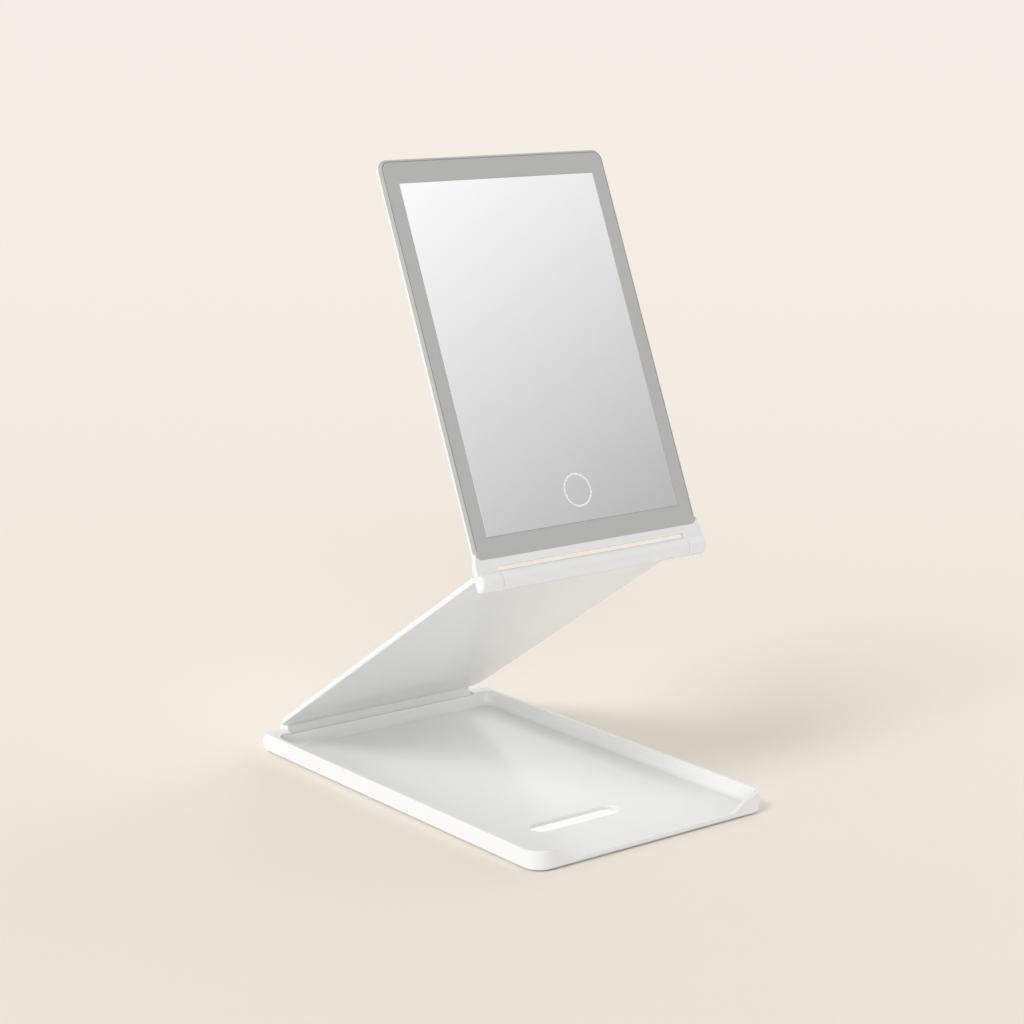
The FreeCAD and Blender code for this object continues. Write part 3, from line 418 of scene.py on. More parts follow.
@dataclass(frozen=True)
class SilveredGlass(Finish):
    """Mirror: silver behind polished glass with the faintest wiping marks."""

    wave_scale: float = 6.0

    def layers(self, sheet: NodeSheet, at: Socket) -> tuple[Socket, Socket, Socket]:
        """Nearly even silver whose gloss changes only where it was wiped.

        Args:
            sheet: The material's nodes.
            at: Object coordinates.

        Returns:
            Sockets for colour, roughness and height.
        """
        marks = HANDLING.place(sheet, Vector=at, Scratches=self.scratches, Smears=self.smears)
        slow = sheet.noise(at, self.wave_scale, 2.0)
        colour = sheet.mix(marks["Mask"], rgba(self.colour), rgba(scaled(self.colour, self.shade)))
        roughness = sheet.remap(marks["Mask"], 0.0, 1.0, self.polished, self.dull)
        return colour, roughness, slow


@dataclass(frozen=True)
class BrushedMetal(Finish):
    """Metal with fine parallel brush lines."""

    along: tuple[float, float, float] = (60.0, 2400.0, 2400.0)

    def layers(self, sheet: NodeSheet, at: Socket) -> tuple[Socket, Socket, Socket]:
        """Stretched noise for the brush lines.

        Args:
            sheet: The material's nodes.
            at: Object coordinates.

        Returns:
            Sockets for colour, roughness and height.
        """
        stretched = sheet.add("ShaderNodeMapping", None, Vector=at, Scale=self.along).outputs[0]
        lines = sheet.noise(stretched, 1.0, 3.0, 0.6)
        colour = sheet.mix(lines, rgba(scaled(self.colour, self.shade)), rgba(self.colour))
        return colour, sheet.remap(lines, 0.3, 0.7, self.polished, self.dull), lines


@dataclass(frozen=True)
class SolderMask(Finish):
    """Circuit board: green mask with raised copper tracks under it."""

    track_scale: float = 170.0
    track_edge: tuple[float, float] = (0.05, 0.09)
    track_gain: float = 1.7

    def layers(self, sheet: NodeSheet, at: Socket) -> tuple[Socket, Socket, Socket]:
        """Blocky cells whose borders read as tracks.

        Args:
            sheet: The material's nodes.
            at: Object coordinates.

        Returns:
            Sockets for colour, roughness and height.
        """
        cells = sheet.add("ShaderNodeTexVoronoi", {"feature": "DISTANCE_TO_EDGE", "distance": "EUCLIDEAN"},
                          Vector=at, Scale=self.track_scale)
        track = sheet.remap(cells.outputs["Distance"], *self.track_edge, 1.0, 0.0)
        colour = sheet.mix(track, rgba(self.colour), rgba(scaled(self.colour, self.track_gain)))
        return colour, sheet.remap(track, 0.0, 1.0, self.polished, self.dull), track


@dataclass(frozen=True)
class CrinkledFoil(Finish):
    """Laminate pouch with shallow creases."""

    crease_scale: float = 90.0
    crease_width: float = 0.12

    def layers(self, sheet: NodeSheet, at: Socket) -> tuple[Socket, Socket, Socket]:
        """Creases from cell borders over the plain tone.

        Args:
            sheet: The material's nodes.
            at: Object coordinates.

        Returns:
            Sockets for colour, roughness and height.
        """
        colour, roughness, _ = super().layers(sheet, at)
        cells = sheet.add("ShaderNodeTexVoronoi", {"feature": "DISTANCE_TO_EDGE"}, Vector=at,
                          Scale=self.crease_scale)
        crease = sheet.remap(cells.outputs["Distance"], 0.0, self.crease_width, 0.0, 1.0)
        return colour, roughness, crease


WHITE_SHELL = Finish("white_shell", (0.915, 0.915, 0.905), shade=0.985, polished=0.16, dull=0.28,
                     relief=0.025, scratches=0.25, smears=0.25, dust=0.05, coat=0.22)
OPAL_WINDOW = FrostedWindow("opal_window", (0.508, 0.509, 0.494), shade=0.985, polished=0.46, dull=0.60,
                            relief=0.10, relief_depth=0.01 * MM, scratches=0.1, smears=0.15)
# Dark grey of the window's edge line: painted shade for the shadow line between the window's face and its edge
# strip.
WINDOW_EDGE_SHADE = replace(OPAL_WINDOW, name="window_edge_shade", colour=(0.24, 0.24, 0.235))
MIRROR_GLASS = SilveredGlass("mirror_glass", (0.93, 0.93, 0.93), shade=0.985, metallic=1.0, polished=0.012,
                             dull=0.05, relief=0.002, relief_depth=0.01 * MM, scratches=0.20, smears=0.35)
RING_INK = Finish("ring_ink", (0.96, 0.96, 0.95), shade=0.985, polished=0.45, dull=0.6)
FOOT_RUBBER = Finish("foot_rubber", (0.42, 0.42, 0.415), shade=0.86, polished=0.62, dull=0.85,
                     grain_scale=2600.0, relief=0.35, relief_depth=0.04 * MM)
STEEL = BrushedMetal("steel", (0.60, 0.60, 0.61), shade=0.88, metallic=1.0, polished=0.22, dull=0.42,
                     relief=0.1)
BRONZE = BrushedMetal("bronze", (0.66, 0.46, 0.24), shade=0.85, metallic=1.0, polished=0.30, dull=0.5,
                      relief=0.1)
COPPER = BrushedMetal("copper", (0.80, 0.48, 0.32), shade=0.9, metallic=1.0, polished=0.28, dull=0.45,
                      relief=0.1)
CONTACT_GOLD = BrushedMetal("contact_gold", (0.83, 0.62, 0.28), shade=0.9, metallic=1.0, polished=0.2,
                            dull=0.35, relief=0.05)
BLACK_TAPE = Finish("black_tape", (0.045, 0.045, 0.045), shade=0.8, polished=0.5, dull=0.75,
                    grain_scale=3000.0, relief=0.2)
CHASSIS_PLASTIC = Finish("chassis_plastic", (0.82, 0.82, 0.81), shade=0.97, polished=0.5, dull=0.65)
CIRCUIT_BOARD = SolderMask("circuit_board", (0.035, 0.20, 0.10), polished=0.3, dull=0.45, relief=0.3)
CHIP_BLACK = Finish("chip_black", (0.035, 0.035, 0.04), shade=0.8, polished=0.45, dull=0.6,
                    grain_scale=5000.0)
SOCKET_BLACK = Finish("socket_black", (0.04, 0.04, 0.04), shade=0.85, polished=0.4, dull=0.55)
CLEAR_PLASTIC = Finish("clear_plastic", (0.78, 0.80, 0.81), shade=0.96, polished=0.1, dull=0.2, coat=0.5)
POUCH_FOIL = CrinkledFoil("pouch_foil", (0.66, 0.67, 0.68), shade=0.92, metallic=0.9, polished=0.3, dull=0.45,
                          relief=0.4, relief_depth=0.2 * MM)
RED_LEAD = Finish("red_lead", (0.52, 0.03, 0.03), shade=0.85, polished=0.35, dull=0.5)
BLACK_LEAD = Finish("black_lead", (0.02, 0.02, 0.02), shade=0.8, polished=0.35, dull=0.5)
AMBER_FILM = Finish("amber_film", (0.50, 0.24, 0.04), shade=0.88, polished=0.2, dull=0.35)
STRIP_BOARD = Finish("strip_board", (0.83, 0.83, 0.80), shade=0.95, polished=0.4, dull=0.55)
LED_PHOSPHOR = Finish("led_phosphor", (0.86, 0.74, 0.30), shade=0.93, polished=0.35, dull=0.5,
                      grain_scale=4000.0)

FINISH_OF_SLOT: dict[str, Finish] = {
    finish.name: finish for finish in (
        WHITE_SHELL, OPAL_WINDOW, MIRROR_GLASS, RING_INK, FOOT_RUBBER, STEEL, BRONZE, COPPER, BLACK_TAPE,
        CHASSIS_PLASTIC, CIRCUIT_BOARD, CHIP_BLACK, SOCKET_BLACK, CLEAR_PLASTIC, POUCH_FOIL, RED_LEAD,
        BLACK_LEAD, AMBER_FILM, STRIP_BOARD, LED_PHOSPHOR)}


# ---------------------------------------------------------------- pieces
def add_piece(name: str, shape: bmesh.types.BMesh, body: Body, finish: Finish,
              replaces: Sequence[str] = (), sharp_degrees: float = 32.0) -> bpy.types.Object:
    """Turn a finished bmesh into a piece of the object.

    Args:
        name: Name of the piece.
        shape: Its shape, in the row frame; it is freed here.
        body: Body that it rides on.
        finish: Finish that it gets.
        replaces: Solids that it stands for.
        sharp_degrees: Edges bent more than this stay crisp.

    Returns:
        The new object.
    """
    limit = math.radians(sharp_degrees)
    for face in shape.faces:
        face.smooth = True
    for edge in shape.edges:
        if len(edge.link_faces) == 2 and edge.calc_face_angle(0.0) > limit:
            edge.smooth = False
    mesh = bpy.data.meshes.new(name)
    shape.to_mesh(mesh)
    shape.free()
    mesh.materials.append(finish.material())
    piece = bpy.data.objects.new(name, mesh)
    bpy.context.scene.collection.objects.link(piece)
    shading = piece.modifiers.new("even_shading", "WEIGHTED_NORMAL")
    shading.keep_sharp = True
    shading.mode = "FACE_AREA"
    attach(piece, body.value)
    if replaces:
        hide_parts(*replaces)
    log.info("%s: %d faces on %s", name, len(mesh.polygons), body.value)
    return piece


def merged_copy(node: str) -> bmesh.types.BMesh:
    """Copy of a solid's mesh with its loose corners joined.

    Args:
        node: Name of the solid.

    Returns:
        The copy as a bmesh.
    """
    shape = bmesh.new()
    shape.from_mesh(frame["nodes"][node].data)
    bmesh.ops.remove_doubles(shape, verts=shape.verts, dist=MERGE_DISTANCE)
    bmesh.ops.dissolve_degenerate(shape, edges=shape.edges, dist=SLIVER)
    return shape


def dress_nodes(nodes: Iterable[str]) -> None:
    """Give solids that stay the finish of their slot.

    Args:
        nodes: Names of the solids.
    """
    slots = {part["node"]: part["material_slot"] for part in frame["record"]["subparts"]}
    for node in nodes:
        mesh = frame["nodes"][node].data
        material = FINISH_OF_SLOT[slots[node]].material()
        mesh.materials.clear()
        mesh.materials.append(material)
        log.info("%s: dressed as %s", node, material.name)


def joint_place(name: str) -> Vector:
    """Where a joint's axis passes, in metres.

    Args:
        name: Name of the joint.

    Returns:
        A point on the axis.
    """
    return next(Vector(joint["pos_m"]) for joint in frame["joints"] if joint["name"] == name)


def local_box(node: str, place: Matrix) -> tuple[Vector, Vector]:
    """Lowest and highest corner of a solid in a turned frame.

    Args:
        node: Name of the solid.
        place: Matrix from the turned frame to the row frame.

    Returns:
        The two corners, in the turned frame.
    """
    inverse = place.inverted()
    points = [inverse @ vertex.co for vertex in frame["nodes"][node].data.vertices]
    low = Vector(min(point[i] for point in points) for i in range(3))
    high = Vector(max(point[i] for point in points) for i in range(3))
    return low, high


def spun(profile: Sequence[tuple[float, float]], steps: int, closed: bool) -> bmesh.types.BMesh:
    """Spin a profile about Z.

    Args:
        profile: Points (radius, height).
        steps: Steps of the full turn.
        closed: Whether the profile is a closed loop, as for a ring.

    Returns:
        The turned shape.
    """
    shape = bmesh.new()
    points = [shape.verts.new((radius, 0.0, height)) for radius, height in profile]
    pairs = list(zip(points, points[1:])) + ([(points[-1], points[0])] if closed else [])
    edges = [shape.edges.new(pair) for pair in pairs]
    bmesh.ops.spin(shape, geom=points + edges, cent=(0, 0, 0), axis=(0, 0, 1), angle=math.tau, steps=steps,
                   use_merge=True)
    bmesh.ops.remove_doubles(shape, verts=shape.verts, dist=SLIVER)
    bmesh.ops.recalc_face_normals(shape, faces=shape.faces)
    return shape


def block(low: Vector, high: Vector, rounding: float, segments: int) -> bmesh.types.BMesh:
    """Block between two corners with rounded edges.

    Args:
        low: Lowest corner.
        high: Highest corner.
        rounding: Width of the rounding.
        segments: Segments across it.

    Returns:
        The block.
    """
    shape = bmesh.new()
    bmesh.ops.create_cube(shape, size=1.0)
    bmesh.ops.scale(shape, vec=high - low, verts=shape.verts)
    bmesh.ops.translate(shape, vec=(high + low) / 2, verts=shape.verts)
    bmesh.ops.bevel(shape, geom=shape.edges[:], offset=rounding, segments=segments, profile=0.5,
                    affect="EDGES", material=-1)
    return shape


def drawn_straight(shape: bmesh.types.BMesh, loop: Sequence[bmesh.types.BMEdge],
                   shift: Vector) -> list[bmesh.types.BMEdge]:
    """Extrude an edge loop along a straight line.

    Args:
        shape: The shape that it belongs to.
        loop: Its edges.
        shift: How far the loop goes.

    Returns:
        The loop's edges at the far end.
    """
    made = bmesh.ops.extrude_edge_only(shape, edges=loop)["geom"]
    far = {item for item in made if isinstance(item, bmesh.types.BMVert)}
    bmesh.ops.translate(shape, vec=shift, verts=list(far))
    return [item for item in made if isinstance(item, bmesh.types.BMEdge) and set(item.verts) <= far]


def drawn_round(shape: bmesh.types.BMesh, loop: Sequence[bmesh.types.BMEdge], middle: Vector,
                steps: int) -> list[bmesh.types.BMEdge]:
    """Carry an edge loop through a quarter turn to the right, about Z.

    Args:
        shape: The shape that it belongs to.
        loop: Its edges.
        middle: Centre of the turn.
        steps: Steps of the turn.

    Returns:
        The loop's edges at the far end.
    """
    corners = list({vertex for edge in loop for vertex in edge.verts})
    made = bmesh.ops.spin(shape, geom=corners + list(loop), cent=middle, axis=(0, 0, 1), angle=-math.pi / 2,
                          steps=steps, use_merge=False)["geom_last"]
    return [item for item in made if isinstance(item, bmesh.types.BMEdge)]


# ---------------------------------------------------------------- sub-assemblies
@dataclass
class BaseTray:
    """Dished tray that stands on four rubber feet."""

    groove_share: tuple[float, ...] = (0.42, 0.70)      # grip grooves, as shares of a foot's radius
    groove_width: float = 0.5 * MM
    groove_depth: float = 0.15 * MM
    groove_floor: float = 0.5                           # flat part of a groove, as a share of its width
    edge_round: float = 0.3 * MM
    edge_steps: int = 4
    foot_steps: int = 64
    feet: tuple[str, ...] = ("front_left", "front_right", "rear_left", "rear_right")

    def build(self) -> None:
        """Build the tray and its feet."""
        add_piece("tray_shell", merged_copy("base_tray"), Body.BASE, WHITE_SHELL,
                  ["base_tray"])
        for place in self.feet:
            self.foot(place)
        dress_nodes(["lower_hinge_pin_left", "lower_hinge_pin_right"])

    def foot(self, place: str) -> None:
        """Build one rubber foot with grip grooves in its underside.

        Args:
            place: Corner that it sits in.
        """
        node = "rubber_foot_" + place
        low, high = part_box(node)
        radius = (high.x - low.x) / 2
        profile = [(0.0, 0.0)]
        for share in self.groove_share:
            middle, half = share * radius, self.groove_width / 2
            flat = half * self.groove_floor
            profile += [(middle - half, 0.0), (middle - flat, self.groove_depth),
                        (middle + flat, self.groove_depth), (middle + half, 0.0)]
        for step in range(self.edge_steps + 1):
            turn = math.radians(90 * step / self.edge_steps)
            profile.append((radius - self.edge_round * (1 - math.sin(turn)),
                            self.edge_round * (1 - math.cos(turn))))
        profile += [(radius, high.z - low.z), (0.0, high.z - low.z)]
        shape = spun(profile, self.foot_steps, closed=False)
        bmesh.ops.translate(shape, vec=((low.x + high.x) / 2, (low.y + high.y) / 2, low.z), verts=shape.verts)
        add_piece("foot_pad_" + place, shape, Body.BASE, FOOT_RUBBER, [node])


@dataclass
class Lid:
    """Thin slanting panel with a hinge barrel along each end."""

    hidden: tuple[str, ...] = ("lid_stiffener_plate", "lid_bonding_tape", "lower_friction_sleeve_left",
                               "lower_friction_sleeve_right", "upper_friction_sleeve_left",
                               "upper_friction_sleeve_right")

    def build(self) -> None:
        """Build the lid's two shells and dress what they hide."""
        add_piece("lid_panel", merged_copy("lid_inner_panel"), Body.LID, WHITE_SHELL,
                  ["lid_inner_panel"])
        add_piece("lid_cover", merged_copy("lid_outer_cover"), Body.LID, WHITE_SHELL,
                  ["lid_outer_cover"])
        dress_nodes(self.hidden)


@dataclass
class MirrorHead:
    """Rectangular head: white rear shell, frosted light window, mirror and touch key."""

    arris: float = 0.22 * MM            # polished edge of the mirror
    arris_steps: int = 2
    window_corner: float = 5.0 * MM
    corner_steps: int = 12
    # The dark bead near the window's edge is painted shade for the shadow line there.
    bead_inset: float = 1.3 * MM
    bead_width: float = 0.44 * MM
    bead_rise: float = 0.03 * MM
    bead_sink: float = 0.05 * MM
    bead_crown: float = 0.6             # flat top of the bead, as a share of its width
    bead_foot: float = 4.0 * MM         # its ends above the window's lower edge
    ring_line: float = 0.85 * MM
    ring_rise: float = 0.05 * MM
    ring_soft: float = 0.12 * MM        # width of the slope at each side of the line
    ring_steps: int = 128
    pad_count: int = 6
    pad_size: tuple[float, float, float] = (0.35 * MM, 2.6 * MM, 0.05 * MM)
    pad_pitch: float = 0.95 * MM
    pad_setback: float = 0.4 * MM       # contacts behind the tongue's tip
    blade_half: float = 0.35 * MM       # contacts above and below the tongue's middle
    place: Matrix = field(init=False)

    def __post_init__(self) -> None:
        """Work out the head's own frame: X across, Y along the head, Z out of the glass."""
        turn = Matrix.Rotation(-(LID_OPEN + HEAD_OPEN), 4, "X")
        self.place = Matrix.Translation(joint_place("mirror_tilt")) @ turn

    def build(self) -> None:
        """Build the head from the back to the glass."""
        add_piece("head_shell", merged_copy("head_rear_housing"), Body.HEAD, WHITE_SHELL,
                  ["head_rear_housing"])
        add_piece("light_window", merged_copy("light_window_frame"), Body.HEAD, OPAL_WINDOW,
                  ["light_window_frame"])
        self.window_edge_shade()
        self.mirror()
        self.ring()
        self.socket()
        shown = {"head_rear_housing", "light_window_frame", "mirror_pane", "touch_key_ring", "usb_c_shell"}
        riders = frame["record"]["behaviour"]["bodies"]["head"]
        dress_nodes(sorted(node for node in riders if node not in shown))

    def stand(self, shape: bmesh.types.BMesh) -> bmesh.types.BMesh:
        """Move a shape from the head's own frame to where the head stands.

        Args:
            shape: The shape.

        Returns:
            The same shape.
        """
        bmesh.ops.transform(shape, matrix=self.place, verts=shape.verts)
        return shape

    def window_edge_shade(self) -> None:
        """Draw a fine dark bead up one side of the window, over its top and down the other side: painted shade for
        the shadow line between the window's face and its edge strip.
        """
        low, high = local_box("light_window_frame", self.place)
        left, right, top = low.x + self.bead_inset, high.x - self.bead_inset, high.y - self.bead_inset
        radius = self.window_corner - self.bead_inset
        foot = low.y + self.bead_foot
        half = self.bead_width / 2
        crown = half * self.bead_crown
        shape = bmesh.new()
        outline = [shape.verts.new((left + across, foot, high.z + height)) for across, height in (
            (-half, -self.bead_sink), (-crown, self.bead_rise),
            (crown, self.bead_rise), (half, -self.bead_sink))]
        loop = [shape.edges.new(pair) for pair in zip(outline, outline[1:] + outline[:1])]
        loop = drawn_straight(shape, loop, Vector((0.0, top - radius - foot, 0.0)))
        loop = drawn_round(shape, loop, Vector((left + radius, top - radius, 0.0)), self.corner_steps)
        loop = drawn_straight(shape, loop, Vector((right - left - 2 * radius, 0.0, 0.0)))
        loop = drawn_round(shape, loop, Vector((right - radius, top - radius, 0.0)), self.corner_steps)
        drawn_straight(shape, loop, Vector((0.0, foot - top + radius, 0.0)))
        bmesh.ops.holes_fill(shape, edges=shape.edges, sides=4)
        bmesh.ops.recalc_face_normals(shape, faces=shape.faces)
        add_piece("window_edge_shade", self.stand(shape), Body.HEAD, WINDOW_EDGE_SHADE)

    def mirror(self) -> None:
        """Build the mirror pane with a polished arris."""
        low, high = local_box("mirror_pane", self.place)
        shape = block(low, high, self.arris, self.arris_steps)
        add_piece("mirror_glass", self.stand(shape), Body.HEAD, MIRROR_GLASS, ["mirror_pane"])

    def ring(self) -> None:
        """Build the fine line that marks the touch key."""
        low, high = local_box("touch_key_ring", self.place)
        outer = (high.x - low.x) / 2
        line, soft = self.ring_line, self.ring_soft
        top = high.z + self.ring_rise
        profile = [(outer - line, low.z), (outer, low.z), (outer, high.z), (outer - soft, top),
                   (outer - line + soft, top), (outer - line, high.z)]
        shape = spun(profile, self.ring_steps, closed=True)
        bmesh.ops.translate(shape, vec=((low.x + high.x) / 2, (low.y + high.y) / 2, 0.0), verts=shape.verts)
        add_piece("key_ring", self.stand(shape), Body.HEAD, RING_INK, ["touch_key_ring"])

    def socket(self) -> None:
        """Build the charging socket's shell and the contacts on its tongue."""
        add_piece("socket_shell", merged_copy("usb_c_shell"), Body.HEAD, STEEL, ["usb_c_shell"])
        low, high = local_box("usb_c_tongue", self.place)
        middle = (low + high) / 2
        width, reach, depth = self.pad_size
        pads = bmesh.new()
        for side in (-1, 1):
            for index in range(self.pad_count):
                y = middle.y + (index - (self.pad_count - 1) / 2) * self.pad_pitch
                z = middle.z + side * self.blade_half
                made = bmesh.ops.create_cube(pads, size=1.0)["verts"]
                bmesh.ops.scale(pads, vec=(reach, width, depth), verts=made)
                bmesh.ops.translate(pads, vec=(high.x - reach / 2 - self.pad_setback, y, z), verts=made)
        add_piece("socket_contacts", self.stand(pads), Body.HEAD, CONTACT_GOLD)


# ---------------------------------------------------------------- studio
@dataclass(frozen=True)
class Studio:
    """Pale floor, soft light and the camera."""

    near_floor: Colour = (0.855, 0.791, 0.694)      # the floor as the camera sees it, near and far
    far_floor: Colour = (0.920, 0.863, 0.799)
    bounce_floor: Colour = (0.92, 0.91, 0.895)      # the floor as it lights the object
    floor_side: float = 80.0
    shadow_reach: float = 0.30          # the floor takes shadows within this distance of the object
    plain_reach: float = 0.85           # and is an even backdrop beyond this one
    station: float = 1.097              # floor distance from the middle of the object to the camera
    nearest: float = 0.82               # floor distance from the camera to the nearest floor in view
    view_heading: tuple[float, float] = (0.6144, 0.7890)
    near_paper: Colour = (0.996, 0.922, 0.811)      # the same floor as paper in lamp light
    far_paper: Colour = (1.0, 0.944, 0.866)
    hidden_patch: tuple[float, float] = (50 * MM, 92 * MM)      # half sides of the glowing white patch under the tray, painted light over the tray's shadow
    patch_glow_white: Colour = (0.97, 0.97, 0.97)
    patch_edge: float = 0.96            # the patch fades from this share of its half sides
    fibre_scale: float = 700.0
    fibre_strength: float = 0.05
    fibre_depth: float = 0.05 * MM
    left_level: float = 1.17            # brightness of the room's soft walls, as the object sees them
    right_level: float = 2.32
    rear_level: float = 1.36
    sweep_lean: float = -0.16           # the reflected room: how its bright edge leans, where it lies
    sweep_heights: tuple[float, float] = (0.235, 0.475)
    sweep_levels: tuple[float, float] = (0.36, 1.13)
    behind_from: float = -0.40          # it is even behind the object
    behind_level: float = 0.95
    # name, direction to the lamp, strength, width in degrees
    lamps: tuple[tuple[str, tuple[float, float, float], float, float], ...] = (
        ("key_light", (-0.69, -0.09, 0.71), 0.91, 24.0),
        ("fill_light", (-0.60, -0.77, 0.21), 0.74, 25.0))

    def build(self) -> None:
        """Lay the floor, set the world, hang the lamps and place the camera."""
        self.floor()
        self.world()
        self.hang_lamps()
        Camera().build()

    def floor(self) -> None:
        """Lay a plain pale floor that fades a little lighter with distance, with a patch under the tray that glows
        white: painted light over the tray's shadow where the slot shows the floor.
        """
        shape = bmesh.new()
        bmesh.ops.create_grid(shape, x_segments=1, y_segments=1, size=self.floor_side / 2)
        mesh = bpy.data.meshes.new("floor")
        shape.to_mesh(mesh)
        shape.free()
        floor = bpy.data.objects.new("floor", mesh)
        bpy.context.scene.collection.objects.link(floor)
        material = bpy.data.materials.new("floor_paper")
        material.use_nodes = True
        material.node_tree.nodes.clear()
        sheet = NodeSheet(material.node_tree)
        at = sheet.object_coordinates()
        apart = sheet.add("ShaderNodeSeparateXYZ", None, Vector=at).outputs
        depth = sheet.math("ADD", sheet.math("MULTIPLY", apart["X"], self.view_heading[0]),
                           sheet.math("MULTIPLY", apart["Y"], self.view_heading[1]))
        reach = sheet.add("ShaderNodeVectorMath", {"operation": "LENGTH"}, i0=at).outputs["Value"]
        away = sheet.math("MAXIMUM", sheet.math("MAXIMUM", sheet.math("ADD", depth, self.station), reach),
                          self.nearest)
        fade = sheet.math("SUBTRACT", 1.0, sheet.math("DIVIDE", self.nearest, away))
        seen = sheet.mix(fade, rgba(self.near_floor), rgba(self.far_floor))
        path = sheet.add("ShaderNodeLightPath").outputs
        direct = sheet.math("MAXIMUM", path["Is Camera Ray"],
                            sheet.math("MAXIMUM", path["Is Glossy Ray"], path["Is Transmission Ray"]))
        lit = sheet.mix(fade, rgba(self.near_paper), rgba(self.far_paper))
        colour = sheet.mix(direct, rgba(self.bounce_floor), lit)
        fibre = sheet.noise(at, self.fibre_scale, 3.0)
        bump = sheet.add("ShaderNodeBump", None, Strength=self.fibre_strength, Distance=self.fibre_depth,
                         Height=fibre)
        paper = sheet.add("ShaderNodeBsdfDiffuse", None, Color=colour, Normal=bump.outputs[0])
        plain = sheet.add("ShaderNodeEmission", None, Color=seen, Strength=1.0)
        even = sheet.add("ShaderNodeMapRange", {"interpolation_type": "SMOOTHSTEP"}, Value=reach,
                         From_Min=self.shadow_reach, From_Max=self.plain_reach).outputs[0]
        share = sheet.math("MULTIPLY", even, direct)
        cover = sheet.add("ShaderNodeMixShader", None, i0=share, i1=paper.outputs[0], i2=plain.outputs[0])
        # Under the tray the floor glows white for camera, glossy and transmission rays: painted light that hides
        # the tray's shadow seen through the slot.
        beside = sheet.math("MAXIMUM",
                            sheet.math("DIVIDE", sheet.math("ABSOLUTE", apart["X"]), self.hidden_patch[0]),
                            sheet.math("DIVIDE", sheet.math("ABSOLUTE", apart["Y"]), self.hidden_patch[1]))
        under = sheet.math("MULTIPLY", sheet.remap(beside, self.patch_edge, 1.0, 1.0, 0.0), direct)
        white = sheet.add("ShaderNodeEmission", None, Color=rgba(self.patch_glow_white), Strength=1.0)
        whole = sheet.add("ShaderNodeMixShader", None, i0=under, i1=cover.outputs[0], i2=white.outputs[0])
        sheet.add("ShaderNodeOutputMaterial", None, Surface=whole.outputs[0])
        mesh.materials.append(material)

    def world(self) -> None:
        """Set an even room for light, a bright-to-grey sweep for reflections and a pale backdrop."""
        world = bpy.data.worlds.new("studio_room")
        world.use_nodes = True
        world.node_tree.nodes.clear()
        sheet = NodeSheet(world.node_tree)
        toward = sheet.add("ShaderNodeTexCoord").outputs["Generated"]
        apart = sheet.add("ShaderNodeSeparateXYZ", None, Vector=toward)
        lean = sheet.math("MULTIPLY", apart.outputs["X"], self.sweep_lean)
        height = sheet.math("ADD", apart.outputs["Z"], lean)
        sweep = sheet.remap(height, *self.sweep_heights, *self.sweep_levels)
        behind = sheet.remap(apart.outputs["Y"], self.behind_from, 0.0, 0.0, 1.0)
        sweep = sheet.math("ADD", sheet.math("MULTIPLY", sweep, sheet.math("SUBTRACT", 1.0, behind)),
                           sheet.math("MULTIPLY", behind, self.behind_level))
        grey = sheet.add("ShaderNodeCombineXYZ", None, X=sweep, Y=sweep, Z=sweep).outputs[0]
        path = sheet.add("ShaderNodeLightPath").outputs
        left = self.wall_glow(sheet, sheet.math("MULTIPLY", apart.outputs["X"], -1.0), self.left_level)
        right = self.wall_glow(sheet, apart.outputs["X"], self.right_level)
        rear = self.wall_glow(sheet, apart.outputs["Y"], self.rear_level)
        level = sheet.math("ADD", sheet.math("ADD", left, right), rear)
        room = sheet.add("ShaderNodeCombineXYZ", None, X=level, Y=level, Z=level).outputs[0]
        lit = sheet.mix(path["Is Glossy Ray"], room, grey)
        shown = sheet.mix(path["Is Camera Ray"], lit, rgba(self.far_floor))
        back = sheet.add("ShaderNodeBackground", None, Color=shown, Strength=1.0)
        sheet.add("ShaderNodeOutputWorld", None, Surface=back.outputs[0])
        bpy.context.scene.world = world

    def wall_glow(self, sheet: NodeSheet, toward: Socket, level: float) -> Socket:
        """Soft light from one side of the room.

        Args:
            sheet: The world's nodes.
            toward: How far a direction points to that side, from -1 to 1.
            level: Brightness straight at that side.

        Returns:
            The brightness in a direction.
        """
        return sheet.math("MULTIPLY", sheet.math("POWER", sheet.math("MAXIMUM", toward, 0.0), 2.0), level)

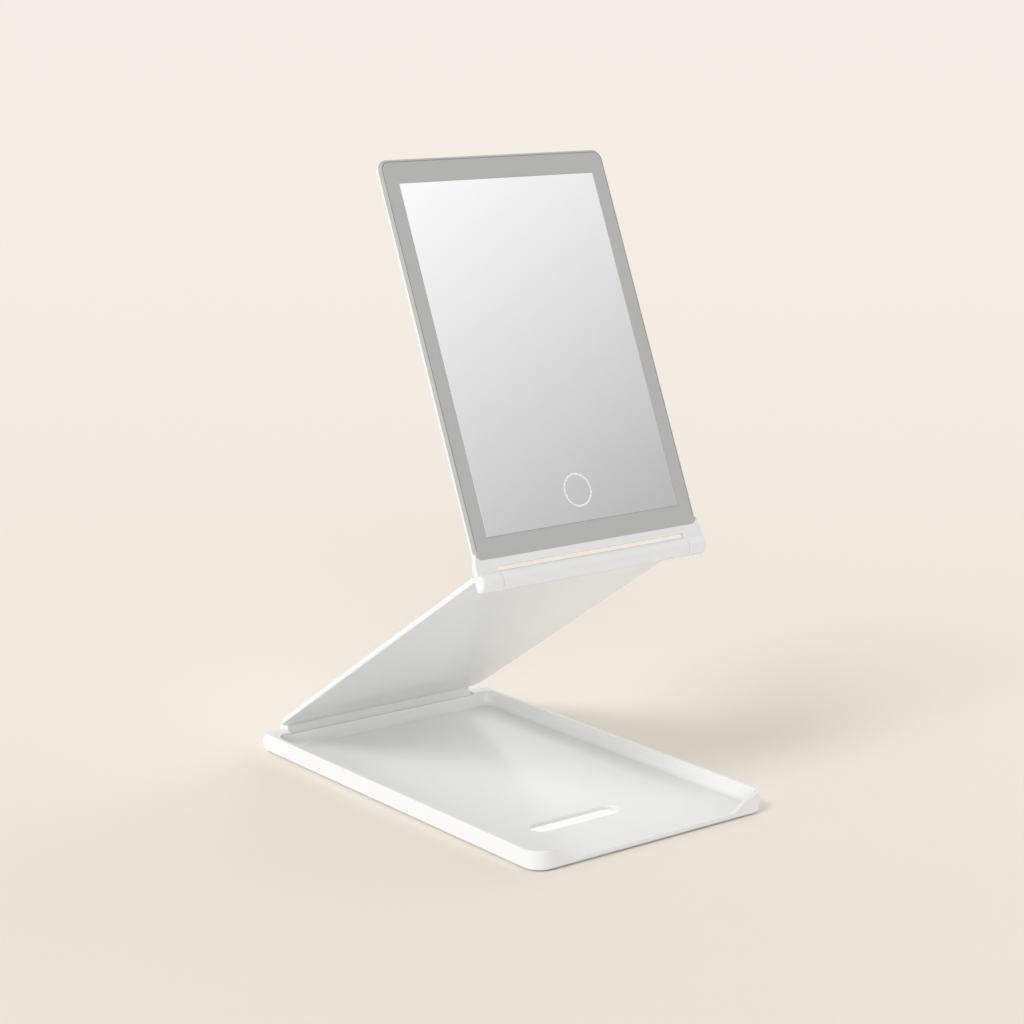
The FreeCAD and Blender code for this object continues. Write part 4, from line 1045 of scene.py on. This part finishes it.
    def hang_lamps(self) -> None:
        """Hang a soft key light high on the object's left and a low fill light by the camera."""
        for name, direction, strength, softness in self.lamps:
            light = bpy.data.lights.new(name, "SUN")
            light.energy = strength
            light.angle = math.radians(softness)
            holder = bpy.data.objects.new(name, light)
            bpy.context.scene.collection.objects.link(holder)
            holder.rotation_euler = (-Vector(direction)).to_track_quat("-Z", "Y").to_euler()


@dataclass(frozen=True)
class Camera:
    """Camera station: what it looks at, from where, and its lens."""

    target: tuple[float, float, float] = (0.00238, -0.00207, 0.12942)
    azimuth: float = math.radians(37.912)       # to the object's left of straight ahead
    elevation: float = math.radians(12.265)
    roll: float = math.radians(0.196)
    distance: float = 1.123
    focal_pixels: float = 2431.2
    picture_side: float = 1024.0
    centre: tuple[float, float] = (512.42, 512.34)
    sensor: float = 36.0
    clip: tuple[float, float] = (0.01, 60.0)

    def build(self) -> None:
        """Make the camera and hand it to the scene."""
        data = bpy.data.cameras.new("camera")
        data.sensor_width = self.sensor
        data.lens = self.focal_pixels / self.picture_side * self.sensor
        data.shift_x = (self.picture_side / 2 - self.centre[0]) / self.picture_side
        data.shift_y = (self.centre[1] - self.picture_side / 2) / self.picture_side
        data.clip_start, data.clip_end = self.clip
        camera = bpy.data.objects.new("camera", data)
        bpy.context.scene.collection.objects.link(camera)
        flat = math.cos(self.elevation)
        back = Vector((-math.sin(self.azimuth) * flat, -math.cos(self.azimuth) * flat,
                       math.sin(self.elevation)))
        turn = (Matrix.Rotation(-self.azimuth, 4, "Z") @ Matrix.Rotation(math.pi / 2 - self.elevation, 4, "X")
                @ Matrix.Rotation(self.roll, 4, "Z"))
        camera.matrix_world = Matrix.Translation(Vector(self.target) + back * self.distance) @ turn
        bpy.context.scene.camera = camera


def main() -> None:
    """Build every sub-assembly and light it."""
    for part in (BaseTray(), Lid(), MirrorHead(), Studio()):
        log.info("building %s", type(part).__name__)
        part.build()
    bpy.context.scene.view_settings.view_transform = "Standard"


if __name__ == "__main__":
    main()
